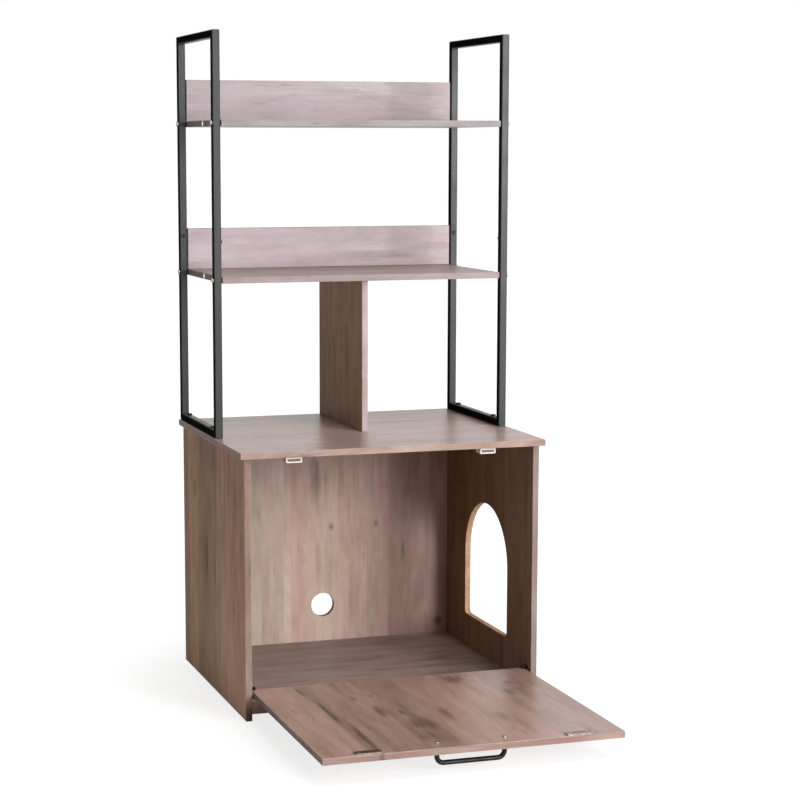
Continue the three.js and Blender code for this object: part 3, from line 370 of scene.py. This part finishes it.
PRINT_STEP = (3.7, 1.9, 2.3)  # metres between one board's piece of the print and the next
PLANK_JOINT = 0.012
MARK_RAGGEDNESS = 1.3
BAND_TINT = (0.9, 0.85, 0.82)
BAND_GLOSS = 0.02  # the edge bands' gloss, as a share of the faces'
# Radius that finds the boards' corners, and the colour of the painted highlight put on them.
EDGE_HIGHLIGHT_RADIUS = 0.0014
OAK_EDGE_HIGHLIGHT = linear(0xD8CAC2)
PRINT_RELIEF = 0.00008
CHIP_TONES = [
    (0.3, linear(0x8E6C50)),
    (0.5, linear(0xB89374)),
    (0.72, linear(0xDCC1A6)),
]
CHIP_RELIEF = 3.0  # times the print's
CHIP_ROUGHNESS = 0.85


def oak_print(n, place, normal, grain, across, seed):
    """The oak group on a board. The ends of the grain carry an edge band of their
    own, with its grain along the edge."""
    parts = n.split(place)
    through = X + Y + Z - grain - across
    face = n.join(parts[across], parts[through], parts[grain])
    band = n.join(parts[through], 0.0, parts[across])
    at_end = n.math("GREATER_THAN", n.math("ABSOLUTE", n.split(normal)[grain]), 0.6)
    offset = tuple(step * seed for step in PRINT_STEP)
    group = n.add("ShaderNodeGroup", node_tree=OAK)
    n.put(n.vector("ADD", n.mix_vectors(at_end, face, band), offset), group.inputs["Place"])
    return group


def plank_tints(n, node, place, across, planks):
    """Tints of the wide strips of the print, from one side of the board to the other. Some
    strips are painted shade.
    """
    low, high = (corner[across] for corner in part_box(node))
    stops = []
    for index, (start, tint) in enumerate(planks):
        end = planks[index + 1][0] - PLANK_JOINT if index + 1 < len(planks) else 1.0
        stops += [(start, (*tint, 1.0)), (max(start, end), (*tint, 1.0))]
    return n.ramp(n.remap(n.split(place)[across], low, high, smooth=False), stops)


def mark_lift(n, place, grain, across, marks):
    """How much paler the print is at its placed patches, which is below 0 at the
    dark ones. Some patches are painted light and shade. Each patch has a ragged edge."""
    parts = n.split(place)
    flat = n.join(parts[across], 0.0, parts[grain])
    ragged = n.swing(n.grain(flat, 70.0, 14.0, detail=3.0, roughness=0.7), MARK_RAGGEDNESS)
    lift = 0.0
    for middle, along, half_width, half_length, depth in marks:
        u = n.math("DIVIDE", n.minus(parts[across], middle), half_width)
        v = n.math("DIVIDE", n.minus(parts[grain], along), half_length)
        distance = n.plus(n.vector("LENGTH", n.join(u, v, 0.0)), ragged)
        lift = n.minus(lift, n.remap(distance, 0.1, 1.1, depth, 0.0))
    return lift


def face_tint_with_painted_shading(n, normal, tint, left_face_painted_shading):
    """The tint of a board's faces. The face to the left may have one of its own: painted light
    and shade, paler or darker for the light that face gets.
    """
    if left_face_painted_shading is None:
        return (*tint, 1.0)
    left = n.remap(n.split(normal)[X], -0.7, -0.5, 1.0, 0.0)
    return n.mix(left, (*tint, 1.0), (*left_face_painted_shading, 1.0))


def painted_corner_highlights(n, place, colour):
    """Painted highlight: the corners of the boards are painted a little paler, more in some
    places than others.
    """
    edge, _ = edge_highlight_and_rounding(n, EDGE_HIGHLIGHT_RADIUS, 0.8)
    highlight_breaks = n.noise(place, scale=90.0, detail=3.0)
    edge_highlight = n.times(edge, n.remap(highlight_breaks, 0.4, 0.65, 0.1, 0.5))
    return n.mix(edge_highlight, colour, OAK_EDGE_HIGHLIGHT)


def particle_board(n, place):
    """Bare chips of wood: their colour and height."""
    chips = n.noise(place, scale=420.0, roughness=0.7)
    patches = n.noise(place, scale=130.0, detail=1.0)
    shade = n.plus(n.times(chips, 0.7), n.times(patches, 0.3))
    return n.ramp(shade, CHIP_TONES), n.times(chips, CHIP_RELIEF)


def board_material(node, grain, across, seed, tint, edge_tint=BAND_TINT, planks=(), marks=(),
                   knots=0.6, figure=0.7, contrast=1.0, roughness=0.4, gloss=0.5,
                   raw=None, left_face_painted_shading=None):
    """Board faced with the print, which runs along the axis `grain`. `across` is its
    other wide axis, and `seed` picks its own piece of the print. `planks` and `marks`
    place the wide strips and the patches, of print and of painted light and shade.
    Its tints hold painted light and shade too. `raw` makes the mask of a cut that
    shows bare particle board."""
    material, n, shader = new_material(node + "_oak")
    coordinates = n.add("ShaderNodeTexCoord").outputs
    place = coordinates["Object"]
    normal = coordinates["Normal"]
    through = X + Y + Z - grain - across
    on_face = n.remap(n.math("ABSOLUTE", n.split(normal)[through]), 0.5, 0.7)

    oak = oak_print(n, place, normal, grain, across, seed)
    lift = mark_lift(n, place, grain, across, marks) if marks else 0.0
    settings = {"Knots": knots, "Figure": figure, "Contrast": contrast, "Lift": lift}
    for name, value in settings.items():
        n.put(value, oak.inputs[name])

    # Painted light and shade: the face to the left gets a tint of its own.
    wide_tint_and_painted_shade = face_tint_with_painted_shading(n, normal, tint, left_face_painted_shading)
    if planks:
        wide_tint_and_painted_shade = n.tinted(plank_tints(n, node, place, across, planks), wide_tint_and_painted_shade)
    colour = n.tinted(oak.outputs["Color"], n.mix(on_face, (*edge_tint, 1.0), wide_tint_and_painted_shade))
    colour = painted_corner_highlights(n, place, colour)
    rough = n.varied(oak.outputs["Fibres"], roughness, 0.05, 0.09, smooth=False)
    height = oak.outputs["Height"]

    if raw is not None:
        mask = raw(n, place, normal)
        chip_colour, chip_height = particle_board(n, place)
        colour = n.mix(mask, colour, chip_colour)
        rough = n.mix_numbers(mask, rough, CHIP_ROUGHNESS)
        height = n.mix_numbers(mask, height, chip_height)

    shine = n.mix_numbers(on_face, gloss * BAND_GLOSS, gloss)
    n.put(colour, shader.inputs["Base Color"])
    n.put(rough, shader.inputs["Roughness"])
    n.put(shine, shader.inputs["Specular IOR Level"])
    n.put(n.bump(height, PRINT_RELIEF), shader.inputs["Normal"])
    dress(node, material)


# ------------------------------------------------------------ other finishes

TUBE_TONES = [
    (0.3, linear(0x303130)),
    (0.7, linear(0x3C3D3C)),
]
# Painted highlight on the tubes' corners.
TUBE_EDGE_HIGHLIGHT = linear(0x6A6A69)
# Painted shade on the tubes' faces turned sideways: its colour, and how much of it is mixed in.
TUBE_PAINTED_SHADE = linear(0x0E0F0E)
TUBE_PAINTED_SHADE_STRENGTH = 0.75
TUBE_GLOSS = 0.2
TUBE_SIDE_GLOSS = 0.0
TUBE_ROUNDING = 0.0012
PLATE_ROUNDING = 0.0016
BLACK_GLOSS = 0.2

# Heights of the fine bumps, in metres.
PEEL_RELIEF = 0.00005
BLACK_RELIEF = 0.00002
BRUSH_RELIEF = 0.00001
PLASTIC_RELIEF = 0.00002
GRIT_RELIEF = 0.00004

# Steps between the two shades that a cloudy surface goes between.
BLACK_SHADE = 0x0C0C0C
METAL_SHADE = 0x181818
PLASTIC_SHADE = 0x0A0A0A


def powder_coat():
    """Dark tube with a painted highlight on its corners. Its faces turned sideways are painted
    darker, a painted shade, and are duller.
    """
    material, n, shader = new_material("powder_coated_tube")
    coordinates = n.add("ShaderNodeTexCoord").outputs
    place = coordinates["Object"]
    peel = n.noise(place, scale=900.0)
    cloud = n.noise(place, scale=14.0)
    colour = n.ramp(n.plus(n.times(peel, 0.3), n.times(cloud, 0.7)), TUBE_TONES)
    edge, rounded = edge_highlight_and_rounding(n, TUBE_ROUNDING, 0.85, 0.5)
    # Painted highlight on the tube's corners.
    colour = n.mix(edge, colour, TUBE_EDGE_HIGHLIGHT)
    sideways = n.math("ABSOLUTE", n.split(coordinates["Normal"])[X])
    # Painted shade on the faces turned sideways.
    painted_side_shade = n.remap(sideways, 0.6, 0.9, 0.0, TUBE_PAINTED_SHADE_STRENGTH)
    shine = n.remap(sideways, 0.3, 0.8, TUBE_GLOSS, TUBE_SIDE_GLOSS)
    n.put(n.mix(painted_side_shade, colour, TUBE_PAINTED_SHADE), shader.inputs["Base Color"])
    n.put(n.remap(cloud, 0.3, 0.7, 0.3, 0.4), shader.inputs["Roughness"])
    n.put(shine, shader.inputs["Specular IOR Level"])
    n.put(n.bump(peel, PEEL_RELIEF, rounded), shader.inputs["Normal"])
    return material


def satin_black(name, tone, roughness):
    material, n, shader = new_material(name)
    place = n.place()
    fine = n.noise(place, scale=1400.0)
    smudge = n.noise(place, scale=60.0, detail=3.0)
    n.put(n.mix(smudge, linear(tone), linear(tone + BLACK_SHADE)), shader.inputs["Base Color"])
    n.put(n.varied(smudge, roughness, 0.06, 0.08), shader.inputs["Roughness"])
    n.put(BLACK_GLOSS, shader.inputs["Specular IOR Level"])
    n.put(n.bump(fine, BLACK_RELIEF), shader.inputs["Normal"])
    return material


def metal(name, tone, roughness, brushed=1.0, rim_highlight=None):
    """Plated metal, brushed along X. Its rim colour, if given, is a painted highlight on its
    edges.
    """
    material, n, shader = new_material(name)
    place = n.place()
    brush = n.noise(n.stretched(place, (160.0, 1600.0, 1600.0)))
    cloud = n.noise(place, scale=220.0)
    colour = n.mix(cloud, linear(tone), linear(tone - METAL_SHADE))
    if rim_highlight is not None:
        # Painted highlight on the plate's edges.
        edge, _ = edge_highlight_and_rounding(n, PLATE_ROUNDING, 0.85)
        colour = n.mix(edge, colour, linear(rim_highlight))
    n.put(colour, shader.inputs["Base Color"])
    n.put(n.varied(brush, roughness, 0.08, 0.1), shader.inputs["Roughness"])
    n.put(1.0, shader.inputs["Metallic"])
    n.put(n.bump(brush, BRUSH_RELIEF * brushed), shader.inputs["Normal"])
    return material


def moulded_plastic(name, tone, roughness, gloss=0.5):
    material, n, shader = new_material(name)
    place = n.place()
    spark = n.noise(place, scale=2200.0, detail=1.0)
    cloud = n.noise(place, scale=90.0)
    n.put(n.mix(cloud, linear(tone), linear(tone - PLASTIC_SHADE)), shader.inputs["Base Color"])
    n.put(n.varied(cloud, roughness, 0.05, 0.07), shader.inputs["Roughness"])
    n.put(gloss, shader.inputs["Specular IOR Level"])
    n.put(n.bump(spark, PLASTIC_RELIEF), shader.inputs["Normal"])
    return material


def ferrite():
    material, n, shader = new_material("ferrite_and_pole_plates")
    grit = n.noise(n.place(), scale=1500.0, detail=3.0)
    tones = [(0.35, linear(0x544C46)), (0.65, linear(0x7A7068))]
    n.put(n.ramp(grit, tones), shader.inputs["Base Color"])
    n.put(0.55, shader.inputs["Roughness"])
    n.put(0.4, shader.inputs["Metallic"])
    n.put(n.bump(grit, GRIT_RELIEF), shader.inputs["Normal"])
    return material


# ------------------------------------------------------------- cut openings

DOORWAY_WIDTH = 0.234
DOORWAY_SILL = 0.0895
DOORWAY_HEIGHT = 0.252
DOORWAY_FROM_FRONT = 0.245
CABLE_HOLE_RADIUS = 0.025
CABLE_HOLE_HEIGHT = 0.102
CUT_MARGIN = 0.002


def within(n, value, middle, reach):
    """1 where the value is no further than `reach` from the middle, and a margin."""
    away = n.math("ABSOLUTE", n.minus(value, middle))
    return n.math("LESS_THAN", away, reach + CUT_MARGIN)


def turned_from(n, normal, axis):
    """1 where the surface doesn't look along the axis."""
    return n.math("LESS_THAN", n.math("ABSOLUTE", n.split(normal)[axis]), 0.5)


def doorway_mask(n, place, normal):
    """1 on the doorway's cut wall."""
    parts = n.split(place)
    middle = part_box("right_side_panel")[0][Y] + DOORWAY_FROM_FRONT
    inside_y = within(n, parts[Y], middle, DOORWAY_WIDTH / 2)
    inside_z = within(n, parts[Z], DOORWAY_SILL + DOORWAY_HEIGHT / 2, DOORWAY_HEIGHT / 2)
    return n.times(turned_from(n, normal, X), n.times(inside_y, inside_z))


def cable_hole_mask(n, place, normal):
    """1 on the cable hole's wall."""
    parts = n.split(place)
    radial = n.vector("LENGTH", n.join(parts[X], 0.0, n.minus(parts[Z], CABLE_HOLE_HEIGHT)))
    inside = n.math("LESS_THAN", radial, CABLE_HOLE_RADIUS + CUT_MARGIN)
    return n.times(turned_from(n, normal, Y), inside)


# ----------------------------------------------- strips and patches of print, and of painted light and shade

# (start across the board as a share of its width, tint)
LEFT_PLANKS = [
    (0.0, (1.06, 1.0, 1.02)),
    (0.35, (0.98, 1.04, 1.02)),
    (0.45, (0.82, 0.82, 0.77)),
    (0.76, (1.14, 1.12, 0.92)),
    (0.91, (0.87, 0.87, 0.88)),
]
# Painted shade on the doorway side: paler at the front, darker towards the rear, where less
# light reaches its inner face.
RIGHT_PAINTED_SHADE_STRIPS = [
    (0.0, (1.14, 1.16, 1.26)),
    (0.3, (1.0, 1.0, 1.0)),
    (0.68, (0.9, 0.82, 0.74)),
]
BACK_PLANKS = [
    (0.0, (1.0, 1.08, 1.1)),
    (0.38, (1.04, 1.0, 1.0)),
    (0.52, (1.0, 0.96, 0.96)),
    # Painted shadow of the doorway side panel on the back panel's right part.
    (0.76, (0.78, 0.7, 0.7)),
]
DOOR_PLANKS = [
    (0.0, (1.1, 1.06, 1.06)),
    (0.165, (0.7, 0.7, 0.72)),
    (0.195, (0.92, 0.89, 0.9)),
    (0.5, (1.16, 1.11, 1.12)),
    (0.8, (0.98, 0.97, 1.0)),
]

# (across, along, half width, half length, depth), in metres
LEFT_MARKS = [
    # Painted shadow of the door on the panel's front edge, at its foot.
    (-0.029, 0.008, 0.009, 0.034, 0.45),
    (0.367, 0.378, 0.012, 0.03, 0.3),
    (0.257, 0.37, 0.03, 0.05, 0.14),
    (0.28, 0.26, 0.035, 0.13, 0.16),
    (0.3, 0.08, 0.03, 0.06, 0.1),
    (0.03, 0.4, 0.04, 0.07, 0.1),
    (0.4, 0.19, 0.03, 0.05, -0.08),
    # The last two patches are painted light and shade: paler at the foot, as if lit by the
    # floor, and darker at the top.
    (0.15, 0.05, 0.3, 0.2, -0.13),
    (0.2, 0.47, 0.3, 0.12, 0.08),
]
BACK_MARKS = [
    # Painted shadow of the top panel across the top of the back panel.
    (0.05, 0.43, 0.35, 0.1, 0.11),
    (0.08, 0.25, 0.1, 0.12, -0.06),
    (-0.015, 0.36, 0.016, 0.075, 0.24),
    (0.019, 0.268, 0.007, 0.012, 0.32),
    (0.118, 0.27, 0.007, 0.012, 0.28),
    (0.07, 0.24, 0.07, 0.05, 0.1),
    (-0.01, 0.2, 0.01, 0.06, 0.12),
    (0.178, 0.21, 0.006, 0.03, 0.22),
    (0.21, 0.11, 0.02, 0.06, 0.14),
    (0.26, 0.05, 0.014, 0.014, 0.35),
    (0.06, 0.1, 0.006, 0.05, 0.12),
    # Painted light: paler low down, as if lit by the door and floor below.
    (0.0, 0.08, 0.22, 0.16, -0.14),
]
DOOR_MARKS = [
    # Painted shade at the door's far middle, with the dark reflection of the cabinet's opening.
    (0.02, -0.02, 0.2, 0.09, 0.09),
    (-0.192, -0.045, 0.007, 0.06, 0.36),
    (-0.182, -0.2, 0.007, 0.12, 0.4),
    (-0.17, -0.38, 0.008, 0.12, 0.4),
    (-0.15, -0.25, 0.03, 0.25, 0.08),
    (-0.112, -0.123, 0.008, 0.025, 0.34),
    (-0.074, -0.113, 0.006, 0.01, 0.3),
    (-0.09, -0.22, 0.014, 0.05, 0.28),
    (-0.057, -0.235, 0.008, 0.02, 0.26),
    (-0.045, -0.31, 0.03, 0.06, 0.26),
    (-0.06, -0.39, 0.03, 0.05, 0.2),
    (0.11, -0.045, 0.025, 0.04, 0.26),
    (0.017, -0.27, 0.014, 0.06, 0.24),
    (0.205, -0.097, 0.012, 0.02, 0.26),
    (0.182, -0.16, 0.016, 0.03, 0.24),
    (0.108, -0.31, 0.012, 0.04, 0.24),
    (0.095, -0.395, 0.006, 0.015, 0.2),
    # Painted sheen: paler along the door's right end.
    (0.22, -0.3, 0.05, 0.2, -0.08),
    (-0.245, -0.13, 0.01, 0.03, 0.1),
    (-0.238, -0.175, 0.012, 0.03, 0.12),
]
FLOOR_PAINTED_SHADOW = [
    # Painted shadow of the doorway side panel on the floor panel's right end.
    (0.15, 0.27, 0.3, 0.2, 0.16),
]
LOWER_BACK_MARKS = [
    (0.85, 0.17, 0.14, 0.28, 0.1),
    (0.84, -0.24, 0.05, 0.08, -0.1),
    (0.825, 0.08, 0.025, 0.12, 0.04),
    (0.85, 0.22, 0.03, 0.08, 0.03),
]
UPPER_BACK_MARKS = [
    (1.14, 0.17, 0.14, 0.28, 0.08),
    (1.14, -0.22, 0.04, 0.1, -0.06),
    (1.135, -0.16, 0.02, 0.12, 0.05),
    (1.14, 0.2, 0.03, 0.09, 0.03),
]
TOP_MARKS = [
    # Painted shade beside the divider, where its shadow and reflection fall.
    (0.08, -0.07, 0.09, 0.06, 0.1),
    (0.16, -0.2, 0.02, 0.04, 0.12),
    (0.3, 0.1, 0.03, 0.12, 0.06),
]


# -------------------------------------------------------------- dress nodes

DULL = 0.01
# Painted light and shade: the boards' tints below set how pale or dark each shows in this
# light, and the paler, bluer edge tints stand in for sheen.
LINING_TINT = (0.92, 0.9, 0.89)
SHELF_TINT = (0.88, 0.93, 1.04)


def dress_boards():
    board_material("left_side_panel", Z, Y, 1, (0.95, 0.93, 0.92), (0.7, 0.69, 0.68),
                   planks=LEFT_PLANKS, marks=LEFT_MARKS, gloss=DULL,
                   left_face_painted_shading=(1.42, 1.18, 0.96))
    board_material("right_side_panel", Z, Y, 22, LINING_TINT, (0.77, 0.82, 0.9),
                   planks=RIGHT_PAINTED_SHADE_STRIPS, figure=0.25, knots=0.3, contrast=0.8, gloss=DULL,
                   raw=doorway_mask, left_face_painted_shading=(0.64, 0.6, 0.46))
    board_material("back_panel", Z, X, 3, (1.28, 1.28, 1.28), planks=BACK_PLANKS,
                   marks=BACK_MARKS, contrast=0.75, gloss=0.3, raw=cable_hole_mask)
    board_material("floor_panel", X, Y, 4, (0.74, 0.77, 0.79), marks=FLOOR_PAINTED_SHADOW, gloss=0.3)
    board_material("cabinet_top_panel", X, Y, 5, (1.02, 1.0, 1.04), (1.03, 1.01, 1.04),
                   marks=TOP_MARKS, figure=0.4, knots=0.2, roughness=0.3)
    board_material("door_panel", Y, X, 6, (0.93, 0.84, 0.8), (0.84, 0.78, 0.8),
                   planks=DOOR_PLANKS, marks=DOOR_MARKS, figure=0.6, contrast=0.85,
                   roughness=0.32)
    board_material("divider_panel", Z, Y, 7, LINING_TINT, (1.2, 1.38, 1.65), gloss=DULL,
                   left_face_painted_shading=(1.2, 1.06, 0.8))
    board_material("lower_shelf", X, Y, 8, SHELF_TINT, (0.88, 0.98, 1.17),
                   figure=0.3, knots=0.1, contrast=0.8)
    board_material("upper_shelf", X, Y, 9, SHELF_TINT, (0.86, 1.04, 1.28),
                   figure=0.3, knots=0.1, contrast=0.8)
    board_material("lower_back_board", X, Z, 10, (1.18, 1.3, 1.68), (1.1, 1.15, 1.25),
                   marks=LOWER_BACK_MARKS, contrast=0.7)
    board_material("upper_back_board", X, Z, 11, (0.85, 0.96, 1.25), (0.95, 1.0, 1.1),
                   marks=UPPER_BACK_MARKS, contrast=0.7)


def dress_metal_and_plastic():
    finishes = {
        "tube": powder_coat(),
        "black_steel": satin_black("satin_black_steel", 0x0C0D0B, 0.4),
        "zinc": metal("zinc_plate", 0xA2A29E, 0.34),
        # A brownish metal that is a painted reflection of the wood around it, with a painted
        # highlight on its rim.
        "strike_plate": metal("plate_with_painted_reflection", 0x7C6A60, 0.28, brushed=0.5, rim_highlight=0xE8DCCB),
        "cream_plastic": moulded_plastic("cream_plastic", 0xEFE6E0, 0.42),
        "black_plastic": moulded_plastic("dark_plastic", 0x201D1A, 0.5, gloss=0.1),
        "white_plug": metal("bright_plug", 0xFCFAF8, 0.3),
        "magnet": ferrite(),
    }
    for part in frame["record"]["subparts"]:
        if part["material_slot"] in finishes:
            dress(part["node"], finishes[part["material_slot"]])


# ------------------------------------------------------------------- studio

KEY_PLACE = (1.5, -3.45, 1.3)
KEY_SIZE = (1.2, 1.8)
KEY_POWER = 130.0
TOP_PLACE = (0.6, -1.6, 3.0)
TOP_SIZE = (1.8, 1.8)
TOP_POWER = 42.0
AIM = (0.0, -0.05, 0.6)

# Soft light from all round: stronger from the front right than from the left.
AMBIENT_LOW = 0.05
AMBIENT_HIGH = 0.42
AMBIENT_FROM = (0.62, -0.62, 0.48)
AMBIENT_BAND = (-0.5, 0.9)  # along that direction, where the light rises

# The floor goes to plain white away from the object's shadow.
FLOOR_HALF = 30.0
FLOOR_BOUNCE = (0.8, 0.8, 0.8, 1.0)
FLOOR_SHOWN = (0.32, 0.32, 0.32, 1.0)
FLOOR_GLOW = (0.78, 1.0)
SHADOW_REACH = (0.5, 1.15)
SHADOW_MIDDLE = (0.2, -0.1, 0.0)


def area_light(name, place, size, power):
    data = bpy.data.lights.new(name, "AREA")
    data.shape = "RECTANGLE"
    data.size, data.size_y = size
    data.energy = power
    lamp = bpy.data.objects.new(name, data)
    lamp.location = place
    lamp.rotation_euler = (Vector(AIM) - Vector(place)).to_track_quat("-Z", "Y").to_euler()
    bpy.context.collection.objects.link(lamp)


def seen_directly(n):
    """1 for rays from the camera and for reflections, 0 for soft light."""
    path = n.add("ShaderNodeLightPath")
    seen = n.math("MAXIMUM", path.outputs["Is Camera Ray"], path.outputs["Is Glossy Ray"])
    return n.math("MAXIMUM", seen, path.outputs["Is Transmission Ray"])


def make_world():
    world = bpy.data.worlds.new("studio")
    bpy.context.scene.world = world
    world.use_nodes = True
    n = Nodes(world.node_tree)
    background = world.node_tree.nodes["Background"]
    n.put((1.0, 1.0, 1.0, 1.0), background.inputs["Color"])
    direction = n.add("ShaderNodeTexCoord").outputs["Generated"]
    towards = n.vector("DOT_PRODUCT", direction, AMBIENT_FROM)
    ambient = n.remap(towards, *AMBIENT_BAND, AMBIENT_LOW, AMBIENT_HIGH)
    n.put(n.mix_numbers(seen_directly(n), ambient, 1.0), background.inputs["Strength"])


def floor_material():
    """A pale diffuse floor that is shown darker but glowing, so that it goes to plain
    white away from the object."""
    material = bpy.data.materials.new("studio_floor")
    material.use_nodes = True
    material.node_tree.nodes.clear()
    n = Nodes(material.node_tree)
    bounce = n.add("ShaderNodeBsdfDiffuse")
    n.put(FLOOR_BOUNCE, bounce.inputs["Color"])
    shown = n.add("ShaderNodeBsdfDiffuse")
    n.put(FLOOR_SHOWN, shown.inputs["Color"])
    away = n.vector("LENGTH", n.vector("SUBTRACT", n.place(), SHADOW_MIDDLE))
    glow = n.add("ShaderNodeEmission")
    n.put(n.remap(away, *SHADOW_REACH, *FLOOR_GLOW), glow.inputs["Strength"])
    both = n.add("ShaderNodeAddShader")
    n.fill(both, (shown.outputs[0], glow.outputs[0]))
    surface = n.add("ShaderNodeMixShader")
    n.fill(surface, (seen_directly(n), bounce.outputs[0], both.outputs[0]))
    n.put(surface.outputs[0], n.add("ShaderNodeOutputMaterial").inputs[0])
    return material


def make_floor():
    mesh = bpy.data.meshes.new("studio_floor")
    turns = ((-1, -1), (1, -1), (1, 1), (-1, 1))
    corners = [(FLOOR_HALF * x, FLOOR_HALF * y, 0) for x, y in turns]
    mesh.from_pydata(corners, [], [(0, 1, 2, 3)])
    mesh.materials.append(floor_material())
    floor = bpy.data.objects.new("studio_floor", mesh)
    bpy.context.collection.objects.link(floor)


def make_studio():
    bpy.context.scene.view_settings.view_transform = "Standard"
    make_world()
    make_floor()
    area_light("key_light", KEY_PLACE, KEY_SIZE, KEY_POWER)
    area_light("top_light", TOP_PLACE, TOP_SIZE, TOP_POWER)


# --------------------------------------------------------------------- main

make_camera()
make_studio()
dress_boards()
dress_metal_and_plastic()
